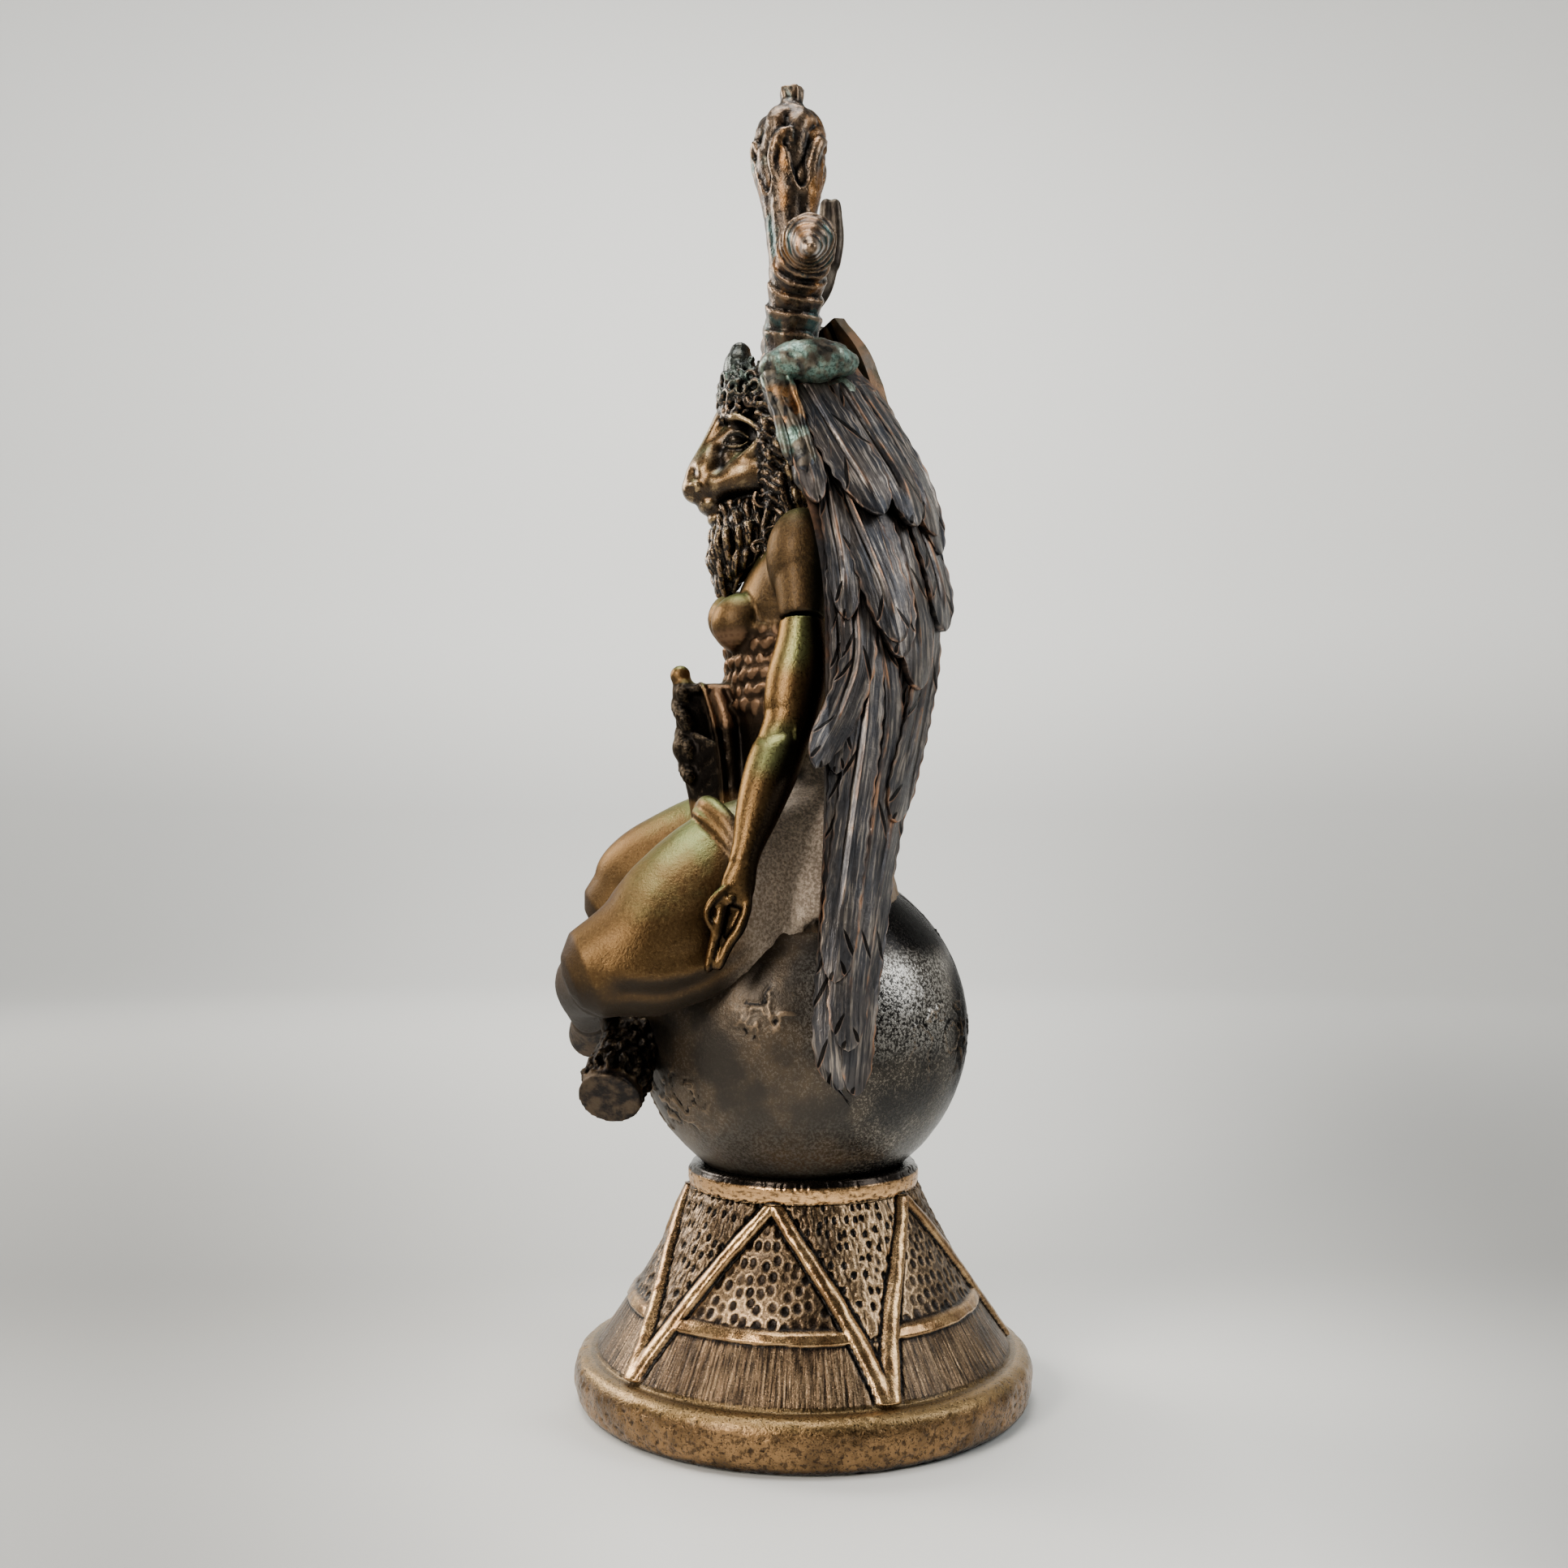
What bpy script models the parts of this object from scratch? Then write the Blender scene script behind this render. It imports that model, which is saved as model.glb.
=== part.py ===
"""Horned, winged figure seated cross-legged on a globe, on a round drum-shaped plinth.

The figure faces -Y, its left side is +X and +Z is up. The origin is the middle of
the plinth's underside. Four castings: plinth, globe, figure and the left arm.
"""
import math

import bmesh
import bpy
import numpy as np
from mathutils import Matrix, Vector

# Plinth, in metres
PLINTH_HEIGHT = 0.0410
PLINTH_FOOT_RADIUS = 0.0373
RIM_RADIUS = 0.0409
RIM_HEIGHT = 0.0088
DRUM_FOOT_RADIUS = 0.0372
DRUM_TOP_RADIUS = 0.0202
DRUM_WAIST = 0.0009
COLLAR_RADIUS = 0.0209
COLLAR_HEIGHT = 0.0040
COLLAR_ROUNDING = 0.0012
COLLAR_LIP = 0.0030
RIB_PAIRS = 5
RIB_WIDTH = 0.0023
RIB_RISE = 0.0010
# How far the ribs bow sideways halfway down, in radians
RIB_BOW = 0.035
BAND_WIDTH = 0.0018
BAND_RISE = 0.0006
BAND_CENTRE_HEIGHT = 0.0182

# Globe and what seats on it
GLOBE_RADIUS = 0.0301
CASTING_GAP = 0.0003

# Figure, from the top of the globe to the tip of the flame
FIGURE_HEIGHT = 0.1494
# The figure's own unit: all its places and radii are in hundred-and-fiftieths of its height
FIGURE_UNITS = 149.4
UNIT = FIGURE_HEIGHT / FIGURE_UNITS

# How finely the castings are faceted
PLINTH_TURN_STEPS = 300
PLINTH_FACE_SHARE = 0.036
PLINTH_FOOT_STEPS = 6
RIM_STEPS = 12
DRUM_STEPS = 64
COLLAR_STEPS = 8
DISH_STEPS = 10
GLOBE_TURN_STEPS = 30
GLOBE_RISE_STEPS = 15
FIGURE_GRAIN = 0.55 * UNIT
FIGURE_FACE_SHARE = 0.0140
ARM_GRAIN = 0.30 * UNIT
ARM_FACE_SHARE = 0.0130

SEAT_OPENING_RADIUS = COLLAR_RADIUS - COLLAR_LIP
GLOBE_CENTRE_HEIGHT = PLINTH_HEIGHT + math.sqrt(GLOBE_RADIUS**2 - SEAT_OPENING_RADIUS**2)
SEAT_HEIGHT = GLOBE_CENTRE_HEIGHT + GLOBE_RADIUS

# The shoulder seam where the left arm is set on, in figure units from the seat
SEAM_CENTRE = Vector((20.4, -1.4, 41.4))
SEAM_AXIS = Vector((0.05, -0.12, -1.0)).normalized()


def clear_scene():
    for item in list(bpy.data.objects):
        bpy.data.objects.remove(item, do_unlink=True)


def material(name, colour, roughness, metallic):
    finish = bpy.data.materials.new(name)
    finish.use_nodes = True
    shader = finish.node_tree.nodes["Principled BSDF"]
    shader.inputs["Base Color"].default_value = (*colour, 1.0)
    shader.inputs["Roughness"].default_value = roughness
    shader.inputs["Metallic"].default_value = metallic
    return finish


def make_object(name, bm, finish=None):
    bmesh.ops.recalc_face_normals(bm, faces=bm.faces)
    mesh = bpy.data.meshes.new(name)
    bm.to_mesh(mesh)
    bm.free()
    obj = bpy.data.objects.new(name, mesh)
    bpy.context.scene.collection.objects.link(obj)
    if finish:
        mesh.materials.append(finish)
    return obj


def make_cutter(name, bm):
    cutter = make_object(name, bm)
    cutter.hide_render = True
    cutter.display_type = "WIRE"
    return cutter


def cut(obj, cutter):
    step = obj.modifiers.new("cut by " + cutter.name, "BOOLEAN")
    step.operation = "DIFFERENCE"
    step.solver = "EXACT"
    step.object = cutter


def thin_out(obj, share):
    step = obj.modifiers.new("fewer faces", "DECIMATE")
    step.ratio = share


def fuse(obj, grain):
    """Grow the overlapping forms of one casting together into one skin."""
    skin = obj.modifiers.new("one skin", "REMESH")
    skin.mode = "VOXEL"
    skin.voxel_size = grain
    ease = obj.modifiers.new("ease", "SMOOTH")
    ease.factor = 0.5
    ease.iterations = 2


def ease_in_out(t):
    t = min(max(t, 0.0), 1.0)
    return t * t * (3.0 - 2.0 * t)


def smooth_rows(rows, steps):
    """Rows of numbers along a Catmull-Rom curve through the given rows."""
    rows = np.array(rows, dtype=float)
    padded = np.vstack([2 * rows[0] - rows[1], rows, 2 * rows[-1] - rows[-2]])
    out = []
    for i in range(len(rows) - 1):
        a, b, c, d = padded[i:i + 4]
        for k in range(steps):
            t = k / steps
            out.append(0.5 * (2 * b + (c - a) * t + (2 * a - 5 * b + 4 * c - d) * t**2
                              + (3 * b - a - 3 * c + d) * t**3))
    out.append(rows[-1])
    return np.array(out)


def place(point):
    """A point in figure units, from the seat, as metres in the model's frame."""
    return Vector(point) * UNIT + Vector((0.0, 0.0, SEAT_HEIGHT))


def skin_rings(bm, rings):
    """One closed body from rings of points, with a fan at each end."""
    verts = [[bm.verts.new(place(p)) for p in ring] for ring in rings]
    count = len(rings[0])
    for lower, upper in zip(verts, verts[1:]):
        for i in range(count):
            j = (i + 1) % count
            bm.faces.new((lower[i], lower[j], upper[j], upper[i]))
    for ring in (verts[0], verts[-1]):
        middle = bm.verts.new(sum((v.co for v in ring), Vector()) / count)
        for i in range(count):
            bm.faces.new((ring[i], ring[(i + 1) % count], middle))


def limb(bm, stations, across=(1.0, 0.0, 0.0), sides=16, steps=4, round_ends=True):
    """A limb through stations (x, y, z, radius along across, radius square to it)."""
    rows = smooth_rows(stations, steps)
    across = Vector(across)
    rings = []
    for i, row in enumerate(rows):
        ahead = Vector(rows[min(i + 1, len(rows) - 1)][:3])
        behind = Vector(rows[max(i - 1, 0)][:3])
        along = (ahead - behind).normalized()
        side = (across - along * across.dot(along)).normalized()
        front = along.cross(side)
        ends = [(0.0, 1.0)]
        if round_ends and i == 0:
            ends = [(-0.85, 0.35), (-0.6, 0.75), (0.0, 1.0)]
        if round_ends and i == len(rows) - 1:
            ends = [(0.0, 1.0), (0.6, 0.75), (0.85, 0.35)]
        for shift, swell in ends:
            centre = Vector(row[:3]) + along * shift * min(row[3], row[4])
            rings.append([centre
                          + side * math.cos(a) * row[3] * swell
                          + front * math.sin(a) * row[4] * swell
                          for a in np.linspace(0.0, 2 * math.pi, sides, endpoint=False)])
    skin_rings(bm, rings)


def ball(bm, centre, radii, tilt=0.0, sides=16, rise=10):
    """An egg shape, tilted about the X axis."""
    turn = Matrix.Rotation(tilt, 3, "X")
    rings = []
    for k in range(1, rise):
        high = math.pi * k / rise
        rings.append([Vector(centre) + turn @ Vector((
            radii[0] * math.sin(high) * math.cos(a),
            radii[1] * math.sin(high) * math.sin(a),
            -radii[2] * math.cos(high)))
            for a in np.linspace(0.0, 2 * math.pi, sides, endpoint=False)])
    skin_rings(bm, rings)


def mirrored(stations):
    return [(-s[0], *s[1:]) for s in stations]


def drum_radius(height):
    """The drum flares from under its collar to the rim, with a slight waist."""
    share = (height - RIM_HEIGHT) / (PLINTH_HEIGHT - COLLAR_HEIGHT - RIM_HEIGHT)
    waist = DRUM_WAIST * math.sin(math.pi * min(max(share, 0.0), 1.0))
    return DRUM_FOOT_RADIUS + (DRUM_TOP_RADIUS - DRUM_FOOT_RADIUS) * share - waist


def rib_course(share):
    """Turn from a peak to its rib, which runs nearly straight from the peak to the foot."""
    half = math.pi / RIB_PAIRS
    out = DRUM_TOP_RADIUS * (1.0 - share) + DRUM_FOOT_RADIUS * share * math.cos(half)
    across = DRUM_FOOT_RADIUS * share * math.sin(half)
    return math.atan2(across, out) + RIB_BOW * math.sin(math.pi * share)


def plinth_profile():
    """(radius, height) from the middle of the underside up to the middle of the dish."""
    points = [(PLINTH_FOOT_RADIUS * k / PLINTH_FOOT_STEPS, 0.0) for k in range(1, PLINTH_FOOT_STEPS + 1)]
    rim_middle = 0.55 * RIM_HEIGHT
    for k in range(1, RIM_STEPS + 1):
        turn = math.pi * (k / RIM_STEPS - 0.5)
        inner = PLINTH_FOOT_RADIUS if turn < 0 else DRUM_FOOT_RADIUS
        reach = inner + (RIM_RADIUS - inner) * math.cos(turn) ** 0.6
        rise = rim_middle if turn < 0 else RIM_HEIGHT - rim_middle
        points.append((reach, rim_middle + rise * math.sin(turn)))
    collar_foot = PLINTH_HEIGHT - COLLAR_HEIGHT
    for k in range(1, DRUM_STEPS + 1):
        height = RIM_HEIGHT + (collar_foot - RIM_HEIGHT) * k / DRUM_STEPS
        points.append((drum_radius(height), height))
    for k in range(COLLAR_STEPS + 1):
        turn = math.pi * (k / COLLAR_STEPS - 0.5)
        reach = COLLAR_RADIUS - COLLAR_ROUNDING * (1.0 - max(math.cos(turn), 0.0) ** 0.5)
        middle = collar_foot + 0.5 * COLLAR_HEIGHT
        points.append((reach, middle + 0.5 * COLLAR_HEIGHT * math.sin(turn)))
    dish_radius = GLOBE_RADIUS + CASTING_GAP
    dish_edge = math.asin(SEAT_OPENING_RADIUS / dish_radius)
    for k in range(DISH_STEPS, 0, -1):
        turn = dish_edge * k / DISH_STEPS
        points.append((dish_radius * math.sin(turn),
                       GLOBE_CENTRE_HEIGHT - dish_radius * math.cos(turn)))
    return points


def bump(distance, width):
    """1 on a raised strip's middle, falling off to 0 just past half its width."""
    return ease_in_out(1.6 - 2.4 * abs(distance) / width)


def plinth_relief(turn, height, radius):
    """Height of the zigzag of ribs, and of the bands inside its peaks, above the drum."""
    foot = RIM_HEIGHT - 0.0002
    top = PLINTH_HEIGHT - COLLAR_HEIGHT
    if not foot <= height <= top + 0.0001:
        return 0.0
    sector = 2 * math.pi / RIB_PAIRS
    # Peaks of the zigzag start at the front, and its feet lie halfway between them
    from_peak = abs((turn + math.pi / 2 + sector / 2) % sector - sector / 2)
    share = min(max((top - height) / (top - foot), 0.0), 1.0)
    off_rib = (from_peak - rib_course(share)) * radius
    slant = math.cos(math.atan2(0.5 * sector * radius, top - foot))
    relief = RIB_RISE * bump(off_rib * slant, RIB_WIDTH)
    if off_rib < 0.0:
        relief = max(relief, BAND_RISE * bump(height - BAND_CENTRE_HEIGHT, BAND_WIDTH))
    else:
        relief = max(relief, 0.35 * RIB_RISE)
    return relief


def build_plinth(finish):
    bm = bmesh.new()
    profile = plinth_profile()
    turns = np.linspace(0.0, 2 * math.pi, PLINTH_TURN_STEPS, endpoint=False)
    rings = []
    for radius, height in profile:
        ring = []
        for turn in turns:
            reach = radius + plinth_relief(turn, height, radius)
            ring.append(bm.verts.new((reach * math.cos(turn), reach * math.sin(turn), height)))
        rings.append(ring)
    for lower, upper in zip(rings, rings[1:]):
        for i in range(len(turns)):
            j = (i + 1) % len(turns)
            bm.faces.new((lower[i], lower[j], upper[j], upper[i]))
    dish_foot = GLOBE_CENTRE_HEIGHT - GLOBE_RADIUS - CASTING_GAP
    for ring, height in ((rings[0], 0.0), (rings[-1], dish_foot)):
        middle = bm.verts.new((0.0, 0.0, height))
        for i in range(len(turns)):
            bm.faces.new((ring[i], ring[(i + 1) % len(turns)], middle))
    plinth = make_object("plinth", bm, finish)
    thin_out(plinth, PLINTH_FACE_SHARE)
    cut(plinth, make_cutter("dish_cutter", globe_skin(GLOBE_RADIUS + CASTING_GAP)))
    return plinth


def globe_skin(radius):
    bm = bmesh.new()
    bmesh.ops.create_uvsphere(bm, u_segments=GLOBE_TURN_STEPS, v_segments=GLOBE_RISE_STEPS,
                              radius=radius)
    bmesh.ops.translate(bm, verts=bm.verts, vec=(0.0, 0.0, GLOBE_CENTRE_HEIGHT))
    return bm


def build_globe(finish):
    globe = make_object("globe", globe_skin(GLOBE_RADIUS), finish)
    globe.data.shade_smooth()
    return globe


def add_torso(bm):
    limb(bm, [
        (0, 1.0, -15, 25.0, 16.5),
        (0, 0.5, -7, 24.5, 17.0),
        (0, 0.0, 0, 23.0, 15.5),
        (0, -0.8, 6, 20.0, 13.2),
        (0, -2.0, 12, 16.5, 11.0),
        (0, -3.6, 18, 13.2, 8.9),
        (0, -4.3, 24, 12.2, 8.3),
        (0, -4.5, 31, 13.0, 9.2),
        (0, -3.8, 40, 14.6, 10.0),
        (0, -2.8, 48, 17.0, 9.4),
        (0, -1.8, 54, 17.5, 7.6),
        (0, -1.4, 58.5, 11.0, 6.3),
        (0, -2.2, 63, 6.6, 6.2),
        (0, -3.5, 72, 6.2, 6.4),
    ], sides=28)
    ball(bm, (8.2, -11.6, 42.9), (5.4, 5.6, 5.5))
    ball(bm, (-8.2, -12.2, 46.6), (5.4, 5.6, 5.5))
    ball(bm, (17.6, -1.5, 52.0), (6.6, 6.3, 7.6))
    ball(bm, (-18.4, -1.0, 55.0), (6.6, 6.3, 7.6))
    # Slopes from the neck to the shoulders, the right one raised with its arm
    for side, high in ((1, 0.0), (-1, 2.0)):
        limb(bm, [
            (side * 2.5, -1.4, 60.0, 4.2, 4.6),
            (side * 10.0, -1.4, 55.5 + 0.5 * high, 4.2, 5.0),
            (side * 17.0, -1.4, 53.0 + high, 4.6, 5.2),
        ], across=(0.0, 0.0, 1.0))
    # The left shoulder's stub down to the seam
    limb(bm, [
        (18.5, -1.4, 52, 5.4, 5.2),
        (19.8, -1.4, 46, 4.7, 4.4),
        (20.4, -1.5, 41, 4.3, 3.8),
        (20.6, -1.8, 37, 4.3, 3.8),
    ])


def add_raised_arm(bm):
    limb(bm, [
        (-19, -1, 55, 5.8, 6.0),
        (-25, -0.6, 66, 4.9, 5.2),
        (-32, 0.2, 80, 4.2, 4.4),
        (-37, 1.0, 90, 3.7, 4.0),
        (-37, 1.3, 99, 3.9, 4.2),
        (-35.5, 1.5, 110, 3.0, 3.1),
        (-34.4, 1.8, 118.5, 2.4, 2.5),
    ])
    # Palm, two fingers held up, two folded and the thumb
    limb(bm, [
        (-34.3, 2.0, 118, 2.1, 2.8),
        (-33.8, 4.2, 124, 2.3, 4.6),
        (-33.2, 5.8, 131, 2.2, 4.7),
    ])
    for shift in (0.0, 2.7):
        limb(bm, [
            (-33.0, 6.2 + shift, 128.5, 1.7, 1.6),
            (-32.8, 6.9 + shift, 134, 1.7, 1.6),
            (-32.4, 7.3 + 0.7 * shift, 141.2, 1.4, 1.35),
        ], sides=8)
        limb(bm, [
            (-33.2, 1.6 + shift, 128.5, 1.2, 1.2),
            (-31.0, 1.2 + shift, 131.5, 1.2, 1.2),
            (-29.6, 1.2 + shift, 128.5, 1.1, 1.1),
        ], sides=8)


def add_head(bm):
    ball(bm, (0, -3.6, 80.5), (9.0, 10.2, 11.0))
    # Muzzle, from the skull down the straight nose to its tip
    limb(bm, [
        (0, -7.0, 77.5, 7.8, 9.4),
        (0, -12.2, 75.8, 6.6, 7.6),
        (0, -16.2, 73.2, 5.2, 6.0),
        (0, -19.4, 70.9, 4.2, 4.4),
        (0, -21.3, 69.8, 3.4, 3.0),
    ])
    # Mouth and chin under the nose
    ball(bm, (0, -15.6, 66.2), (4.4, 3.6, 2.6))
    ball(bm, (0, -14.0, 63.2), (4.0, 3.2, 2.6))
    for side in (-1, 1):
        # Brow and cheekbone
        ball(bm, (side * 4.8, -13.4, 81.2), (3.2, 2.2, 1.6), tilt=-0.3)
        ball(bm, (side * 6.4, -9.6, 74.0), (2.4, 4.2, 2.4), tilt=0.5)
        ball(bm, (side * 4.2, -11.4, 71.4), (3.8, 5.4, 4.6), tilt=0.4)
        ball(bm, (side * 2.8, -20.2, 68.6), (1.5, 1.7, 1.4))
    add_hair(bm)
    add_beard(bm)


def add_hair(bm):
    ball(bm, (0, -7.6, 88.2), (9.6, 8.8, 6.2), tilt=0.25)
    limb(bm, [(0, -12.0, 89, 2.6, 2.2), (0, -12.9, 93, 2.1, 1.8), (0, -13.2, 95.6, 1.4, 1.3)])
    for side in (-1, 1):
        limb(bm, [
            (side * 8.4, -5.6, 88, 3.0, 3.6),
            (side * 9.6, -5.4, 80, 2.8, 3.6),
            (side * 9.6, -5.2, 72, 2.6, 3.4),
            (side * 9.4, -5.0, 65, 2.6, 3.2),
            (side * 9.6, -5.0, 60.5, 2.4, 2.8),
        ])
        # Curls down the side lock
        for k in range(8):
            turn = 2.4 * k
            ball(bm, (side * (10.6 + 0.5 * math.cos(turn)), -6.4 + 2.2 * math.sin(turn), 87.0 - 3.7 * k),
                 (1.7, 1.8, 2.1), sides=8, rise=6)
    limb(bm, [(0, 3.0, 86, 7.6, 4.0), (0, 4.8, 76, 8.2, 4.2), (0, 4.6, 64, 7.4, 4.0)])


def add_beard(bm):
    limb(bm, [
        (0, -10.2, 68.5, 8.4, 6.6),
        (0, -10.6, 63.0, 8.2, 7.2),
        (0, -11.6, 58.2, 6.2, 5.6),
        (0, -13.0, 54.0, 3.9, 3.4),
        (0, -14.6, 50.6, 1.8, 1.5),
    ])
    # Wavy locks over the beard, gathered to its tip
    locks = 7
    for k in range(locks):
        turn = math.radians(-84 + 168 * k / (locks - 1))
        wave = 0.6 * math.cos(3.0 * k)
        path = []
        for reach, depth, front, high, thick in (
                (8.2, 6.4, -10.2, 67.0, 1.6), (8.2, 7.0, -10.6, 62.0, 1.7),
                (6.0, 5.4, -11.8, 57.5, 1.5), (3.6, 3.2, -13.2, 53.6, 1.2),
                (1.6, 1.4, -14.6, 50.2, 0.8)):
            sway = wave if len(path) % 2 else -wave
            path.append((reach * math.sin(turn) + sway, front - depth * math.cos(turn), high, thick, thick))
        limb(bm, path, sides=8, steps=3)


def add_horns(bm):
    path = [
        (5.0, -2.8, 88.0, 5.2),
        (7.2, -2.5, 96.0, 5.3),
        (10.2, -2.1, 102.4, 5.2),
        (14.4, -1.2, 107.0, 5.1),
        (19.4, -0.2, 108.8, 5.0),
        (25.0, -0.3, 107.0, 4.1),
        (30.5, -0.7, 104.0, 2.7),
        (35.5, -1.0, 101.0, 1.1),
    ]
    rings_along = 13
    steps = 8
    rows = smooth_rows(path, steps)
    ringed = []
    for i, row in enumerate(rows):
        share = i / (len(rows) - 1)
        swell = 1.0 + 0.07 * math.cos(2 * math.pi * rings_along * share)
        ringed.append((row[0], row[1], row[2], row[3] * swell, row[3] * swell))
    limb(bm, ringed, across=(0.0, 1.0, 0.0), steps=1)
    limb(bm, mirrored(ringed), across=(0.0, 1.0, 0.0), steps=1)


def add_torch(bm):
    # Handle and flame: (height, radius), standing on the crown
    handle = [(86, 4.0), (100, 3.9), (112, 4.2), (119, 4.5), (124, 5.2), (129, 6.2), (134, 6.8),
              (137.4, 7.0), (140.4, 6.2), (142.6, 4.2), (144.4, 2.6), (146.6, 2.2), (148.2, 2.1)]
    limb(bm, [(0, -2.2, z, r, r) for z, r in handle], sides=20, steps=3)
    # Flame tongues winding up the bulb
    tongues = 6
    for k in range(tongues):
        tongue = []
        for height, reach in ((127, 5.0), (131, 6.1), (135.5, 6.2), (139.5, 4.9), (142.6, 2.8), (145.5, 1.2)):
            turn = 2 * math.pi * k / tongues + 0.07 * (height - 127)
            thick = 1.5 - 0.05 * (height - 127)
            tongue.append((reach * math.cos(turn), -2.2 + reach * math.sin(turn), height, thick, thick))
        limb(bm, tongue, sides=8, steps=3)
    leaves = 5
    for k in range(leaves):
        turn = 2 * math.pi * k / leaves - math.pi / 2
        out = Vector((math.cos(turn), math.sin(turn), 0.0))
        flat = Vector((-math.sin(turn), math.cos(turn), 0.0))
        middle = Vector((0.0, -2.2, 0.0))
        leaf = []
        for height, reach, wide in ((112, 3.6, 1.6), (120, 4.6, 1.9), (127, 5.9, 1.8), (131.5, 6.7, 0.8)):
            spot = middle + out * reach
            leaf.append((spot.x, spot.y, height, wide, 0.7))
        limb(bm, leaf, across=flat, sides=8, steps=3)


def add_legs(bm):
    left_thigh = [
        (12.5, 5.0, 3.0, 10.4, 11.5),
        (13.4, -4.0, -1.0, 10.0, 13.2),
        (17.6, -12.0, -4.0, 9.2, 13.8),
        (22.2, -20.3, -10.2, 9.2, 13.4),
        (25.5, -27.8, -15.2, 9.0, 11.2),
        (26.8, -34.0, -17.8, 7.6, 8.6),
    ]
    right_thigh = [
        (-13, -4.0, 1.0, 10.0, 12.4),
        (-19, -13.5, 2.0, 9.8, 12.6),
        (-24, -23.0, -0.8, 9.2, 11.8),
        (-27, -30.6, -4.6, 8.6, 10.8),
        (-27.5, -35.0, -8.4, 7.2, 8.2),
    ]
    limb(bm, left_thigh, sides=20)
    limb(bm, right_thigh, sides=20)
    # Shins cross in front of the globe, the left one outside
    left_shin = [
        (25, -34.5, -20.0, 6.4, 6.4),
        (14, -38.0, -21.0, 5.8, 6.2),
        (4, -39.4, -22.8, 5.2, 5.8),
        (-5, -40.0, -26.0, 4.2, 4.6),
        (-11, -39.8, -28.8, 3.6, 3.8),
    ]
    right_shin = [
        (-26, -34.0, -13.0, 6.4, 6.8),
        (-14, -34.6, -19.0, 5.6, 6.4),
        (-3, -33.6, -25.0, 5.0, 5.8),
        (7, -31.6, -30.0, 4.6, 5.2),
        (13, -31.0, -33.5, 4.8, 5.2),
    ]
    limb(bm, left_shin, across=(0.0, 1.0, 0.0))
    limb(bm, right_shin, across=(0.0, 1.0, 0.0))
    add_hoof(bm, Vector((11.0, -31.0, -32.0)), Vector((23.0, -33.8, -40.0)))
    add_hoof(bm, Vector((-10.0, -39.8, -28.5)), Vector((-22.0, -39.4, -33.6)))


def add_hoof(bm, ankle, sole):
    """A hoof that widens from the fur cuff to a flat sole."""
    path = [(0.0, 5.2), (0.25, 5.4), (0.45, 4.2), (0.7, 4.7), (1.0, 5.2)]
    rings = []
    for share, radius in path:
        spot = ankle.lerp(sole, share)
        rings.append((spot.x, spot.y, spot.z, radius, radius * 0.96))
    limb(bm, rings, across=(0.0, 1.0, 0.0), steps=3, round_ends=False)


def add_lap(bm):
    """The cloth bunched over the lap, and the winged staff that stands up from it."""
    for side in (-1, 1):
        limb(bm, [
            (0, -19.6, 9.6, 2.2, 2.0),
            (side * 9, -19.0, 9.2, 2.0, 1.9),
            (side * 15, -16.6, 7.2, 1.9, 1.8),
            (side * 19.5, -12.6, 3.0, 1.7, 1.7),
        ], across=(0.0, 1.0, 0.0), sides=10)
    # Shield behind the staff, joined to the belly
    limb(bm, [
        (0, -15.6, 4.0, 7.4, 6.2),
        (0, -16.4, 12.0, 7.4, 5.4),
        (0, -17.0, 20.0, 7.2, 5.0),
        (0, -17.4, 27.0, 6.2, 4.8),
        (0, -17.6, 31.0, 4.0, 4.2),
    ], sides=14, round_ends=False)
    limb(bm, [(0, -20.0, 8, 1.9, 1.9), (0, -21.4, 20, 1.9, 1.9), (0, -22.3, 32, 1.7, 1.7)])
    ball(bm, (0, -22.2, 34.4), (1.9, 1.9, 1.9))
    coil_turns = 1.5
    for phase in (0.0, math.pi):
        snake = []
        for k in range(19):
            share = k / 18
            turn = phase + 2 * math.pi * coil_turns * share
            reach = 3.4 - 1.0 * share
            snake.append((reach * math.cos(turn), -20.8 - 1.2 * share - 1.0 * math.sin(turn),
                          10 + 21 * share, 1.15, 1.15))
        limb(bm, snake, sides=8, steps=1)


# Left wing: leading edge and trailing edge points, from the wrist down to the tip
WING_ROWS = [
    (18.0, -7.2, 86.0, 12.0, 9.0, 89.5),
    (21.0, -5.8, 78.0, 10.0, 14.6, 84.0),
    (22.8, -3.5, 68.5, 10.0, 18.8, 75.0),
    (25.4, -0.6, 60.0, 10.0, 21.8, 64.5),
    (27.4, 1.5, 48.0, 11.0, 23.6, 52.5),
    (28.4, 2.0, 36.0, 12.0, 23.6, 40.5),
    (29.2, 2.0, 22.0, 14.5, 20.2, 28.0),
    (30.0, 1.8, 8.0, 17.8, 16.6, 13.0),
    (31.0, 1.2, -6.0, 22.5, 13.5, -2.0),
    (32.4, 0.2, -20.0, 28.0, 10.6, -16.0),
    (33.2, -0.4, -30.0, 31.6, 8.4, -29.5),
    (33.2, 3.0, -36.0, 32.6, 6.4, -36.5),
]
# Feather rows: first and last wing row, how many, their spread at the root and tip, width
FEATHERS = (
    (6.0, 11.25, 3, (0.15, 0.80), (0.25, 0.85), 5.0),
    (4.4, 8.1, 4, (0.05, 0.90), (-0.04, 0.97), 6.2),
    (2.3, 5.3, 4, (0.10, 0.90), (0.05, 1.00), 6.8),
    (0.4, 3.5, 4, (0.15, 0.80), (0.12, 1.00), 6.6),
)
WING_THICKNESS = 2.8
# Swell of the wing's outer face, as a share of its width
WING_SWELL = 0.17
FEATHER_RISE = 1.5


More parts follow.
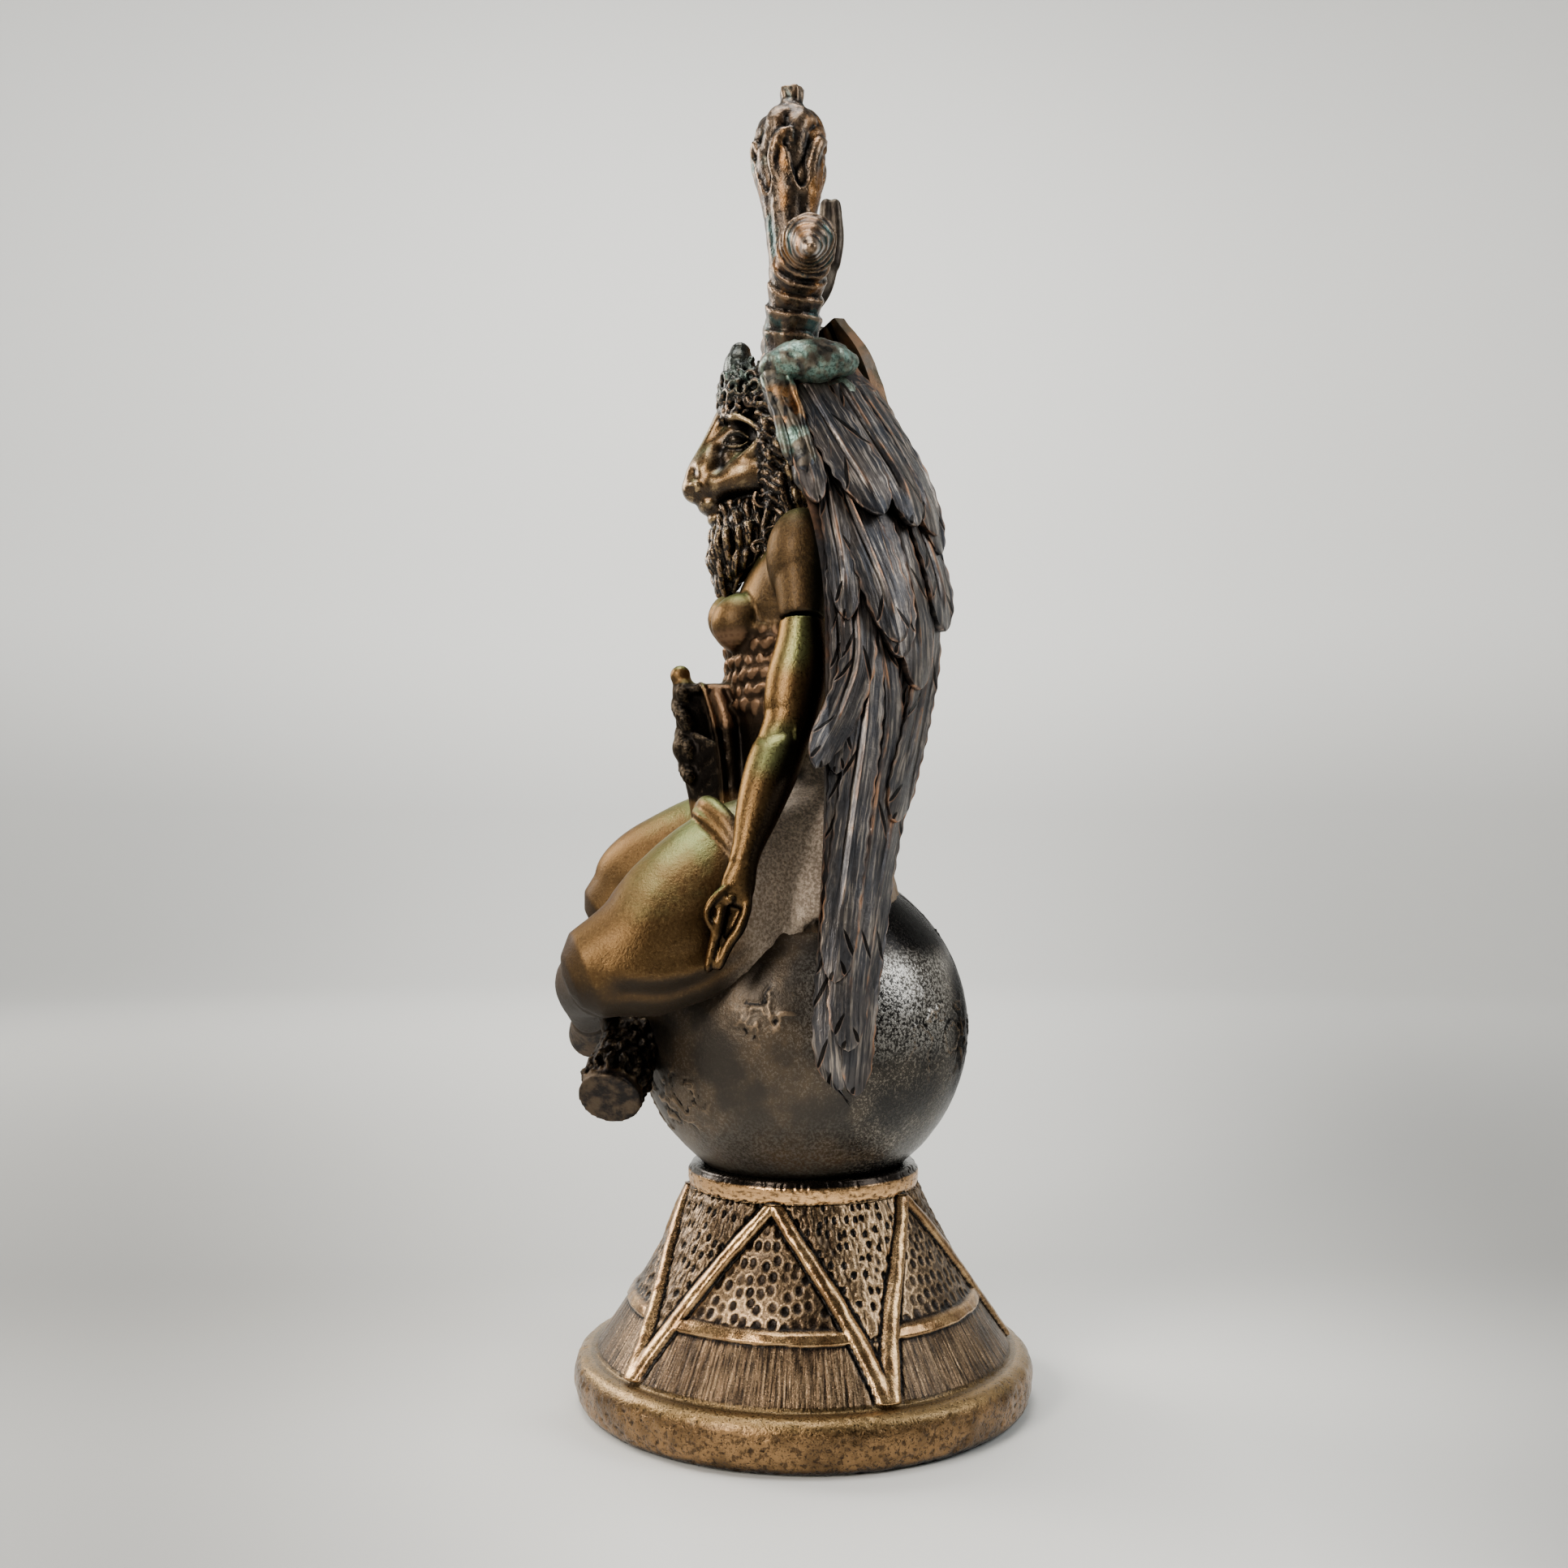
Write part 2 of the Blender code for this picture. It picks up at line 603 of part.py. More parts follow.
class Wing:
    """The curved outer face of a wing, by share across and row down."""

    def __init__(self, side, lift):
        self.side = side
        self.lift = lift
        self.steps = 6
        self.rows = smooth_rows(WING_ROWS, self.steps)

    def row(self, down):
        spot = min(max(down * self.steps, 0.0), len(self.rows) - 1.001)
        low = int(spot)
        row = self.rows[low] + (self.rows[low + 1] - self.rows[low]) * (spot - low)
        spare = max(down - (len(WING_ROWS) - 1), 0.0)
        return row + spare * (self.rows[-1] - self.rows[-1 - self.steps])

    def point(self, across, down, off=0.0):
        row = self.row(down)
        lead = Vector(row[:3])
        trail = Vector(row[3:])
        chord = trail - lead
        out = Vector((chord.y, -chord.x, 0.0)).normalized()
        inside = min(max(across, 0.0), 1.0)
        swell = WING_SWELL * chord.length * math.sin(math.pi * inside)
        slope = WING_SWELL * math.pi * math.cos(math.pi * inside)
        face = (out - chord.normalized() * slope).normalized()
        spot = lead + chord * across + out * swell + face * off
        return self.settle(spot, across)

    def settle(self, spot, across):
        """Put a left-wing point on this wing's own side, raised by its lift near the top."""
        height = max((spot.z - 40.0) / 50.0, 0.0)
        raised = self.lift * height ** 1.6
        back = 0.22 * raised * max(1.0 - across, 0.0)
        return Vector((self.side * spot.x, spot.y + back, spot.z + raised))


def add_wing(bm, side, lift):
    wing = Wing(side, lift)
    rings = []
    for down in np.linspace(0.0, len(WING_ROWS) - 1, 45):
        outer = [wing.point(a, down) for a in np.linspace(0.0, 1.0, 12)]
        inner = [wing.point(a, down, -WING_THICKNESS) for a in np.linspace(0.98, 0.02, 12)]
        rings.append(outer + inner)
    skin_rings(bm, rings)
    for start, end, count, roots, tips, width in FEATHERS:
        for k in range(count):
            share = k / (count - 1)
            root = roots[0] + (roots[1] - roots[0]) * share
            tip = tips[0] + (tips[1] - tips[0]) * share
            stagger = 0.35 * math.sin(2.4 * k + start)
            add_feather(bm, wing, (root, start), (tip, end + stagger * (end < 11)), width)
    add_wing_arm(bm, wing)


def add_feather(bm, wing, root, tip, width):
    """A long blade lying on the wing, with a raised shaft and a rounded tip."""
    rings = []
    for share in np.linspace(0.0, 1.0, 14):
        across = root[0] + (tip[0] - root[0]) * share
        down = root[1] + (tip[1] - root[1]) * share
        chord = wing.row(down)
        span = (Vector(chord[3:]) - Vector(chord[:3])).length
        half = 0.5 * width * min(1.0, (1.02 - share) / 0.25) ** 0.5 * (0.7 + 0.3 * share)
        reach = half / span
        rise = FEATHER_RISE * (0.35 + 0.65 * share)
        ring = []
        for out, high in ((-1.0, 0.6), (-0.5, 0.8), (0.0, 1.15), (0.5, 0.8), (1.0, 0.6)):
            ring.append(wing.point(across + out * reach, down, rise * high))
        for out in (0.8, -0.8):
            ring.append(wing.point(across + out * reach, down, -0.8))
        rings.append(ring)
    skin_rings(bm, rings)


def add_wing_arm(bm, wing):
    """The wing's bony front, from the shoulder blade up to the rounded wrist."""
    def at(x, y, z, a, b):
        spot = wing.settle(Vector((x, y, z)), 0.0)
        return (spot.x, spot.y, spot.z, a, b)

    limb(bm, [
        (wing.side * 5.0, 2.5, 46.0, 4.6, 5.0),
        at(11.0, 8.0, 56.0, 4.6, 4.6),
        at(14.0, 8.0, 70.0, 4.0, 5.4),
        at(15.5, 3.0, 82.0, 4.0, 6.0),
    ])
    limb(bm, [
        at(17.0, -4.8, 86.0, 4.0, 3.6),
        at(17.5, 0.0, 87.6, 4.8, 4.6),
        at(15.8, 5.6, 87.6, 3.6, 3.2),
    ])
    edge = []
    for down in (0.1, 1.0, 2.0, 3.0):
        spot = wing.point(0.03, down, -1.0)
        edge.append((spot.x, spot.y, spot.z, 2.5 - 0.2 * down, 2.5 - 0.2 * down))
    limb(bm, edge, sides=10)


def seam_cutter(lowest, highest):
    """A block square to the arm, between two distances from the seam along it."""
    bm = bmesh.new()
    half = 6.0 * UNIT
    bmesh.ops.create_cube(bm, size=2.0)
    length = (highest - lowest) * UNIT
    middle = place(SEAM_CENTRE) + SEAM_AXIS * 0.5 * (lowest + highest) * UNIT
    turn = SEAM_AXIS.to_track_quat("Z", "Y").to_matrix().to_4x4()
    size = Matrix.Diagonal((half, half, 0.5 * length, 1.0))
    bmesh.ops.transform(bm, matrix=Matrix.Translation(middle) @ turn @ size, verts=bm.verts)
    return bm


def build_figure(finish):
    bm = bmesh.new()
    add_torso(bm)
    add_raised_arm(bm)
    add_head(bm)
    add_horns(bm)
    add_torch(bm)
    add_legs(bm)
    add_lap(bm)
    add_wing(bm, 1.0, 0.0)
    add_wing(bm, -1.0, 19.0)
    figure = make_object("figure", bm, finish)
    fuse(figure, FIGURE_GRAIN)
    thin_out(figure, FIGURE_FACE_SHARE)
    cut(figure, make_cutter("seat_cutter", globe_skin(GLOBE_RADIUS + CASTING_GAP)))
    half_gap = 0.5 * CASTING_GAP / UNIT
    cut(figure, make_cutter("stub_cutter", seam_cutter(-half_gap, 9.0)))
    return figure


def build_left_arm(finish):
    bm = bmesh.new()
    limb(bm, [
        (20.2, -0.9, 45.5, 4.4, 3.9),
        (20.4, -1.4, 41.4, 4.4, 3.9),
        (20.9, -1.7, 35.5, 4.7, 4.7),
        (21.3, -2.4, 31.0, 4.7, 5.2),
        (21.7, -3.1, 27.0, 4.6, 5.0),
        (22.0, -3.5, 24.0, 4.3, 4.6),
        (22.9, -4.6, 20.6, 4.1, 4.4),
        (24.6, -6.3, 16.4, 4.2, 4.6),
        (26.6, -7.9, 12.0, 4.0, 4.3),
        (28.8, -9.7, 6.5, 3.4, 3.5),
        (30.5, -11.0, 2.0, 2.7, 2.6),
        (31.6, -11.9, -1.2, 2.3, 2.4),
    ])
    # Palm, its thin hollow, and two fingers that meet as they point down
    limb(bm, [
        (31.6, -11.8, -1.2, 2.1, 2.4),
        (32.1, -12.6, -4.4, 1.7, 2.8),
        (32.4, -13.1, -6.8, 1.4, 2.7),
    ])
    ball(bm, (31.9, -13.6, -10.0), (1.0, 2.4, 3.8))
    limb(bm, [(32.6, -15.0, -6.4, 1.2, 1.2), (33.0, -15.6, -9.6, 1.1, 1.1), (33.2, -16.4, -13.2, 1.05, 1.05),
              (33.3, -17.3, -17.8, 0.9, 0.9)], sides=10)
    limb(bm, [(32.6, -11.6, -6.2, 1.1, 1.1), (33.2, -12.0, -9.8, 1.1, 1.1), (33.4, -13.8, -13.4, 1.05, 1.05),
              (33.4, -15.6, -17.4, 0.9, 0.9)], sides=10)
    # The thumb bends round to the first finger
    limb(bm, [(32.4, -14.6, -4.8, 1.1, 1.1), (33.4, -16.9, -7.2, 0.95, 0.95), (33.7, -17.5, -9.4, 0.9, 0.9),
              (33.4, -17.0, -11.4, 0.85, 0.85)], sides=10)
    arm = make_object("left_arm", bm, finish)
    fuse(arm, ARM_GRAIN)
    thin_out(arm, ARM_FACE_SHARE)
    half_gap = 0.5 * CASTING_GAP / UNIT
    cut(arm, make_cutter("arm_top_cutter", seam_cutter(-9.0, half_gap)))
    return arm


def main():
    clear_scene()
    bronze = material("bronze", (0.30, 0.17, 0.08), 0.38, 0.9)
    pewter = material("dark_pewter", (0.06, 0.055, 0.05), 0.35, 0.9)
    build_plinth(bronze)
    build_globe(pewter)
    build_figure(bronze)
    build_left_arm(bronze)


main()
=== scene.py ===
"""Looks of the horned, winged statuette: cast relief, patina, pale floor, soft light, camera."""
import math

import bmesh
import bpy
import numpy as np
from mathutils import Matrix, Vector, kdtree


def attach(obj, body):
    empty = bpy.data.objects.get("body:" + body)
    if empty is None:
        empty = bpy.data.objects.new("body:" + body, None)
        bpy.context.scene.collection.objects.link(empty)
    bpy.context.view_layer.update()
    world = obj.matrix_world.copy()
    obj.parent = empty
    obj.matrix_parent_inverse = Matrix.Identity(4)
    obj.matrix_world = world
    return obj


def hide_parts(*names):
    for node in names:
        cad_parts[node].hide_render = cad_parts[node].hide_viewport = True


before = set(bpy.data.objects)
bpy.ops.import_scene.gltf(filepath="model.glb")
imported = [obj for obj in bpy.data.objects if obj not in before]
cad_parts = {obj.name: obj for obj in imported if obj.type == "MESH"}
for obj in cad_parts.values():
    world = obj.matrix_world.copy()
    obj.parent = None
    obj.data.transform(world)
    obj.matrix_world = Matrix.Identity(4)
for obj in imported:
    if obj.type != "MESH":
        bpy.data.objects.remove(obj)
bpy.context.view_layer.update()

# Plinth, in metres
PLINTH_HEIGHT = 0.0410
PLINTH_FOOT_RADIUS = 0.0373
RIM_RADIUS = 0.0409
RIM_HEIGHT = 0.0088
DRUM_FOOT_RADIUS = 0.0372
DRUM_TOP_RADIUS = 0.0202
DRUM_MEAN_RADIUS = 0.5 * (DRUM_FOOT_RADIUS + DRUM_TOP_RADIUS)
COLLAR_RADIUS = 0.0209
COLLAR_HEIGHT = 0.0040
COLLAR_LIP = 0.0030
RIB_PAIRS = 5
RIB_WIDTH = 0.0024
RIB_RISE = 0.0012
# How far the ribs bow sideways halfway down, in radians
RIB_BOW = 0.035
BAND_WIDTH = 0.0017
BAND_RISE = 0.0006
BAND_CENTRE_HEIGHT = 0.0182
PLINTH_COLUMNS = 570

# Globe
GLOBE_RADIUS = 0.0301
SEAT_OPENING_RADIUS = COLLAR_RADIUS - COLLAR_LIP
GLOBE_CENTRE_HEIGHT = PLINTH_HEIGHT + math.sqrt(GLOBE_RADIUS**2 - SEAT_OPENING_RADIUS**2)
GLOBE_CENTRE = np.array([0, 0, GLOBE_CENTRE_HEIGHT])
SEAT_HEIGHT = GLOBE_CENTRE_HEIGHT + GLOBE_RADIUS

# The figure's places and radii are in these units, measured from the top of the globe
UNIT = 0.001
# A limb across this direction has its first radius fore and aft
FORE = (0.0, 1.0, 0.0)

# How finely each casting is skinned, in figure units, the share of its faces kept, and rounds of easing
BODY_GRAIN = 0.48
BODY_SHARE = 0.70
HEAD_GRAIN = 0.27
HEAD_SHARE = 0.80
FACE_EASE = 22
TORCH_GRAIN = 0.34
ARM_GRAIN = 0.34

# The shoulder seam where the left arm is set on
SEAM_CENTRE = np.array((20.4, -1.4, 41.4))
SEAM_AXIS = np.array((0.05, -0.12, -1.0)) / np.linalg.norm((0.05, -0.12, -1.0))
SEAM_GAP = 0.28


def unit(vectors):
    return vectors / np.maximum(np.linalg.norm(vectors, axis=-1, keepdims=True), 1e-9)


def full_turn(count):
    """Angles evenly spaced once round."""
    return np.linspace(0.0, 2 * math.pi, count, endpoint=False)


def ease_in_out(t):
    t = np.clip(t, 0.0, 1.0)
    return t * t * (3.0 - 2.0 * t)


def ramp(value, start, width):
    """0 up to the start, then easing up to 1 over the width."""
    return ease_in_out((value - start) / width)


def fade(value, end, width):
    """Easing down from 1 over the width to 0 at the end."""
    return ease_in_out((end - value) / width)


def smooth_rows(rows, steps):
    """Rows of numbers along a Catmull-Rom curve through the given rows."""
    rows = np.array(rows, dtype=float)
    padded = np.vstack([2 * rows[0] - rows[1], rows, 2 * rows[-1] - rows[-2]])
    t = (np.arange(steps) / steps)[:, None]
    out = []
    for i in range(len(rows) - 1):
        a, b, c, d = padded[i:i + 4]
        out.append(0.5 * (2 * b + (c - a) * t + (2 * a - 5 * b + 4 * c - d) * t**2
                          + (3 * b - a - 3 * c + d) * t**3))
    out.append(rows[-1:])
    return np.vstack(out)


def run_lengths(path):
    """Length along a path up to each of its points."""
    return np.concatenate([[0.0], np.cumsum(np.linalg.norm(np.diff(path, axis=0), axis=1))])


# Noise

def scramble(cells, seed):
    """A number from 0 to 1 for every whole-numbered cell."""
    cells = cells.astype(np.int64)
    mixed = cells[..., 0] * 374761393 + cells[..., 1] * 668265263 + cells[..., 2] * 2147483647
    mixed = (mixed + seed * 974634777) & 0xFFFFFFFF
    mixed = ((mixed ^ (mixed >> 13)) * 1274126177) & 0xFFFFFFFF
    return ((mixed ^ (mixed >> 16)) & 0xFFFF) / 65535.0


def clouds(points, size, seed=0):
    """Smooth noise from 0 to 1 whose lumps are about the given size."""
    points = np.asarray(points, float) / size
    low = np.floor(points)
    share = ease_in_out(points - low)
    total = 0.0
    for corner in range(8):
        step = np.array([(corner >> k) & 1 for k in range(3)])
        weight = np.prod(np.where(step == 1, share, 1.0 - share), axis=-1)
        total = total + weight * scramble(low + step, seed)
    return total


def lumps(points, size, seed=0):
    """The same noise about zero, from -0.5 to 0.5."""
    return clouds(points, size, seed) - 0.5


def pits(across, along, size, seed=0):
    """Distance to the nearest scattered point, in cells, and that point's own number."""
    spot = np.stack([across, along], -1) / size
    low = np.floor(spot)
    nearest = np.full(across.shape, 9.0)
    owner = np.zeros(across.shape)
    for i in (-1, 0, 1):
        for j in (-1, 0, 1):
            cell = low + np.array([i, j])
            key = np.concatenate([cell, np.zeros(cell.shape[:-1] + (1,))], -1)
            jitter = np.stack([scramble(key, seed), scramble(key, seed + 7)], -1)
            place = cell + 0.5 + 0.62 * (jitter - 0.5)
            distance = np.linalg.norm(spot - place, axis=-1)
            closer = distance < nearest
            nearest = np.where(closer, distance, nearest)
            owner = np.where(closer, scramble(key, seed + 13), owner)
    return nearest, owner


def off_line(spots, line):
    """Distance from flat spots to a line through the given points."""
    best = np.full(len(spots), 1e9)
    line = np.array(line, float)
    for a, b in zip(line, line[1:]):
        run = b - a
        share = np.clip(((spots - a) @ run) / (run @ run), 0.0, 1.0)
        best = np.minimum(best, np.linalg.norm(spots - a - share[:, None] * run, axis=1))
    return best


# Forms

def new_object(name, data):
    obj = bpy.data.objects.new(name, data)
    bpy.context.scene.collection.objects.link(obj)
    return obj


class Clay:
    """Closed forms gathered for one piece, in figure units from the seat."""

    def __init__(self):
        self.points = []
        self.quads = []
        self.fans = []
        self.strands = []
        self.notes = []
        self.size = 0

    def skin(self, rings, notes=None):
        """One closed form from rings of points, with a fan at each end and four notes a point."""
        rings = np.asarray(rings, float)
        count, sides, _ = rings.shape
        notes = np.zeros((count, sides, 4)) if notes is None else notes
        self.notes += [notes.reshape(-1, 4), notes[[0, -1]].mean(axis=1)]
        spot = np.arange(count * sides).reshape(count, sides) + self.size
        turned = np.roll(spot, -1, axis=1)
        quads = np.stack([spot[:-1], turned[:-1], turned[1:], spot[1:]], -1)
        self.quads.append(quads.reshape(-1, 4))
        first = self.size + count * sides
        for middle, edge, beside in ((first, turned[0], spot[0]), (first + 1, spot[-1], turned[-1])):
            self.fans.append(np.stack([edge, beside, np.full(sides, middle)], -1))
        ends = np.array([rings[0].mean(axis=0), rings[-1].mean(axis=0)])
        self.points += [rings.reshape(-1, 3), ends]
        self.size += count * sides + 2

    def finish(self, name):
        points = np.vstack(self.points) * UNIT
        points[:, 2] += SEAT_HEIGHT
        mesh = bpy.data.meshes.new(name)
        mesh.from_pydata(points.tolist(), [], np.vstack(self.quads).tolist() + np.vstack(self.fans).tolist())
        bm = bmesh.new()
        bm.from_mesh(mesh)
        bmesh.ops.recalc_face_normals(bm, faces=bm.faces)
        bm.to_mesh(mesh)
        bm.free()
        return new_object(name, mesh)


def limb(clay, stations, across=(1.0, 0.0, 0.0), sides=24, steps=6, round_ends=True, form=None):
    """A limb through stations (x, y, z, radius along across, radius square to it).

    One radius serves both ways, and form(angle, share) may swell or pinch it round and along.
    """
    stations = [(*s, s[3]) if len(s) == 4 else s for s in stations]
    rows = smooth_rows(stations, steps)
    ahead = np.vstack([rows[1:, :3], rows[-1:, :3]])
    behind = np.vstack([rows[:1, :3], rows[:-1, :3]])
    along = unit(ahead - behind)
    across = np.array(across, float)
    side = unit(across - along * (along @ across)[:, None])
    front = np.cross(along, side)
    pick = list(range(len(rows)))
    shift = [0.0] * len(rows)
    swell = [1.0] * len(rows)
    if round_ends:
        pick = [0, 0, 0] + pick + [len(rows) - 1] * 3
        shift = [-0.97, -0.85, -0.5] + shift + [0.5, 0.85, 0.97]
        swell = [0.2, 0.53, 0.87] + swell + [0.87, 0.53, 0.2]
    pick = np.array(pick)
    shift = np.array(shift)[:, None]
    swell = np.array(swell)[:, None, None]
    middle = rows[pick, :3] + along[pick] * shift * np.minimum(rows[pick, 3], rows[pick, 4])[:, None]
    angle = full_turn(sides)
    if form is not None:
        share = pick / (len(rows) - 1.0)
        swell = swell * form(angle[None, :], share[:, None])[..., None]
    wide = side[pick][:, None] * np.cos(angle)[None, :, None] * rows[pick, 3][:, None, None]
    deep = front[pick][:, None] * np.sin(angle)[None, :, None] * rows[pick, 4][:, None, None]
    clay.skin(middle[:, None] + (wide + deep) * swell)


def ball(clay, centre, radii, tilt=0.0, turn=0.0, sides=24, rise=14):
    """An egg shape, tilted about X and then turned about Z."""
    high = math.pi * (np.arange(1, rise) / rise)[:, None]
    angle = full_turn(sides)[None]
    shape = np.stack([radii[0] * np.sin(high) * np.cos(angle),
                      radii[1] * np.sin(high) * np.sin(angle),
                      -radii[2] * np.cos(high) * np.ones_like(angle)], -1)
    c, s = math.cos(tilt), math.sin(tilt)
    lean = np.array([[1, 0, 0], [0, c, -s], [0, s, c]])
    c, s = math.cos(turn), math.sin(turn)
    spin = np.array([[c, -s, 0], [s, c, 0], [0, 0, 1]])
    clay.skin(shape @ lean.T @ spin.T + np.array(centre))


def strand(clay, points, thick, thin, wave=0.0, waves=2.0, phase=0.0, sides=7, steps=7):
    """A lock of hair: a tapering strand that waves to both sides of its path."""
    rows = smooth_rows(points, steps)
    along = unit(np.gradient(rows, axis=0))
    side = unit(np.cross(along, (0.31, 0.95, 0.05)))
    rear = np.cross(along, side)
    share = np.linspace(0.0, 1.0, len(rows))
    turn = 2 * math.pi * waves * share + phase
    rows = rows + wave * (side * np.sin(turn)[:, None] + 0.5 * rear * np.cos(turn)[:, None])
    size = thick + (thin - thick) * share
    clay.strands.append(np.column_stack([rows, unit(np.gradient(rows, axis=0)), size]))
    limb(clay, np.column_stack([rows, size, size]), sides=sides, steps=1)


def on_side(side, places):
    """The same places on the left side (1) or on the right (-1)."""
    return [(side * place[0], *place[1:]) for place in places]


# Meshes as arrays

def points_of(mesh):
    flat = np.empty(len(mesh.vertices) * 3, np.float32)
    mesh.vertices.foreach_get("co", flat)
    return flat.reshape(-1, 3).astype(float)


def normals_of(mesh):
    flat = np.empty(len(mesh.vertices) * 3, np.float32)
    mesh.vertex_normals.foreach_get("vector", flat)
    return flat.reshape(-1, 3).astype(float)


def edges_of(mesh):
    flat = np.empty(len(mesh.edges) * 2, np.int32)
    mesh.edges.foreach_get("vertices", flat)
    return flat.reshape(-1, 2)


def move_points(mesh, points):
    mesh.vertices.foreach_set("co", points.astype(np.float32).ravel())
    mesh.update()


def raise_skin(mesh, rise):
    """Move each point out along its normal by its rise in figure units."""
    move_points(mesh, points_of(mesh) + normals_of(mesh) * (rise * UNIT)[:, None])


def in_units(points):
    """Metres in the frame as figure units from the seat."""
    return (points - np.array([0.0, 0.0, SEAT_HEIGHT])) / UNIT


def eased(values, edges, rounds):
    """Values averaged with their neighbours' over and over."""
    count = len(values)
    share = 0.5 / np.maximum(np.bincount(edges.ravel(), minlength=count), 1)
    for _ in range(rounds):
        total = np.empty_like(values)
        for k in range(values.shape[1]):
            total[:, k] = np.bincount(edges[:, 0], weights=values[edges[:, 1], k], minlength=count)
            total[:, k] += np.bincount(edges[:, 1], weights=values[edges[:, 0], k], minlength=count)
        values = 0.5 * values + total * share[:, None]
    return values


def keep_value(mesh, name, values):
    layer = mesh.attributes.new(name, "FLOAT", "POINT")
    layer.data.foreach_set("value", values.astype(np.float32))


def keep_place(mesh, name, places):
    layer = mesh.attributes.new(name, "FLOAT_VECTOR", "POINT")
    layer.data.foreach_set("vector", places.astype(np.float32).ravel())


def one_skin(obj, grain, share=1.0, ease=1):
    """Grow a piece's overlapping forms together into one skin of even faces."""
    skin = obj.modifiers.new("one skin", "REMESH")
    skin.mode = "VOXEL"
    skin.voxel_size = grain * UNIT
    soften = obj.modifiers.new("ease", "SMOOTH")
    soften.factor = 0.5
    soften.iterations = ease
    if share < 1.0:
        thin = obj.modifiers.new("fewer faces", "DECIMATE")
        thin.ratio = share
    settle(obj)


def join(obj, other):
    """Add another object's forms to this one and drop the other."""
    bm = bmesh.new()
    bm.from_mesh(obj.data)
    bm.from_mesh(other.data)
    bm.to_mesh(obj.data)
    bm.free()
    bpy.data.objects.remove(other)


def settle(obj):
    """Turn a piece's modifiers into its mesh."""
    graph = bpy.context.evaluated_depsgraph_get()
    mesh = bpy.data.meshes.new_from_object(obj.evaluated_get(graph))
    old = obj.data
    obj.modifiers.clear()
    obj.data = mesh
    bpy.data.meshes.remove(old)


def wear_and_shade_marks(mesh, fine_rounds=3, broad_rounds=28, fine=0.05, broad=0.5):
    """Keep how far each point stands proud of its surroundings, near by and farther out. The finishes rub
    proud places bright as wear, and darken low places as dark patina and painted shade.
    """
    points, edges, normals = points_of(mesh), edges_of(mesh), normals_of(mesh)
    near = eased(points, edges, fine_rounds)
    far = eased(near, edges, broad_rounds)
    proud = np.einsum("ij,ij->i", points - near, normals) / (fine * UNIT)
    above = np.einsum("ij,ij->i", points - far, normals) / (broad * UNIT)
    keep_value(mesh, "proud", np.clip(0.5 + 0.5 * proud, 0.0, 1.0))
    keep_value(mesh, "above", np.clip(0.5 + 0.5 * above, 0.0, 1.0))


def tree_of(cloud):
    tree = kdtree.KDTree(len(cloud))
    for i, spot in enumerate(cloud):
        tree.insert(spot, i)
    tree.balance()
    return tree


def near_cloud(points, cloud, reach):
    """1 next to any point of a cloud, falling to 0 beyond the reach."""
    tree = tree_of(cloud)
    away = np.array([tree.find(p)[2] for p in points])
    return ease_in_out(1.6 - away / reach)


def combed_places(points, strands, middle):
    """Where points lie round and along their nearest strand, to draw single hairs along it."""
    rows = np.vstack(strands)
    gone, number = [], []
    for k, strand_rows in enumerate(strands):
        gone.append(run_lengths(strand_rows[:, :3]))
        number.append(np.full(len(strand_rows), float(k)))
    gone, number = np.concatenate(gone), np.concatenate(number)
    tree = tree_of(rows[:, :3])
    pick = np.array([tree.find(p)[1] for p in points])
    centre, along, size = rows[pick, :3], rows[pick, 3:6], rows[pick, 6]
    out = centre - np.array(middle)
    front = unit(out - along * np.einsum("ij,ij->i", out, along)[:, None])
    side = np.cross(along, front)
    off = points - centre
    turn = np.arctan2(np.einsum("ij,ij->i", off, side), np.einsum("ij,ij->i", off, front))
    return np.stack([turn * size, gone[pick] * 0.12, number[pick] * 5.3], -1)


# Plinth

def drum_radius(height):
    share = (height - RIM_HEIGHT) / (PLINTH_HEIGHT - COLLAR_HEIGHT - RIM_HEIGHT)
    waist = 0.0009 * math.sin(math.pi * min(max(share, 0.0), 1.0))
    return DRUM_FOOT_RADIUS + (DRUM_TOP_RADIUS - DRUM_FOOT_RADIUS) * share - waist


def plinth_profile():
    """(radius, height) from near the middle of the underside up to the middle of the dish."""
    foot_steps, rim_steps, drum_steps, collar_steps, dish_steps = 5, 30, 112, 14, 6
    points = [(PLINTH_FOOT_RADIUS * k / foot_steps, 0.0) for k in range(1, foot_steps + 1)]
    rim_middle = 0.55 * RIM_HEIGHT
    for k in range(1, rim_steps + 1):
        turn = math.pi * (k / rim_steps - 0.5)
        inner = PLINTH_FOOT_RADIUS if turn < 0 else DRUM_FOOT_RADIUS
        reach = inner + (RIM_RADIUS - inner) * math.cos(turn) ** 0.6
        rise = rim_middle if turn < 0 else RIM_HEIGHT - rim_middle
        points.append((reach, rim_middle + rise * math.sin(turn)))
    collar_foot = PLINTH_HEIGHT - COLLAR_HEIGHT
    for k in range(1, drum_steps + 1):
        height = RIM_HEIGHT + (collar_foot - RIM_HEIGHT) * k / drum_steps
        points.append((drum_radius(height), height))
    for k in range(collar_steps + 1):
        turn = math.pi * (k / collar_steps - 0.5)
        reach = COLLAR_RADIUS - 0.0010 * (1.0 - max(math.cos(turn), 0.0) ** 0.5)
        points.append((reach, collar_foot + 0.5 * COLLAR_HEIGHT * (1.0 + math.sin(turn))))
    dish_edge = math.asin(SEAT_OPENING_RADIUS / GLOBE_RADIUS)
    for k in range(dish_steps, 0, -1):
        turn = dish_edge * k / dish_steps
        points.append((GLOBE_RADIUS * math.sin(turn), GLOBE_CENTRE_HEIGHT - GLOBE_RADIUS * math.cos(turn)))
    return np.array(points)


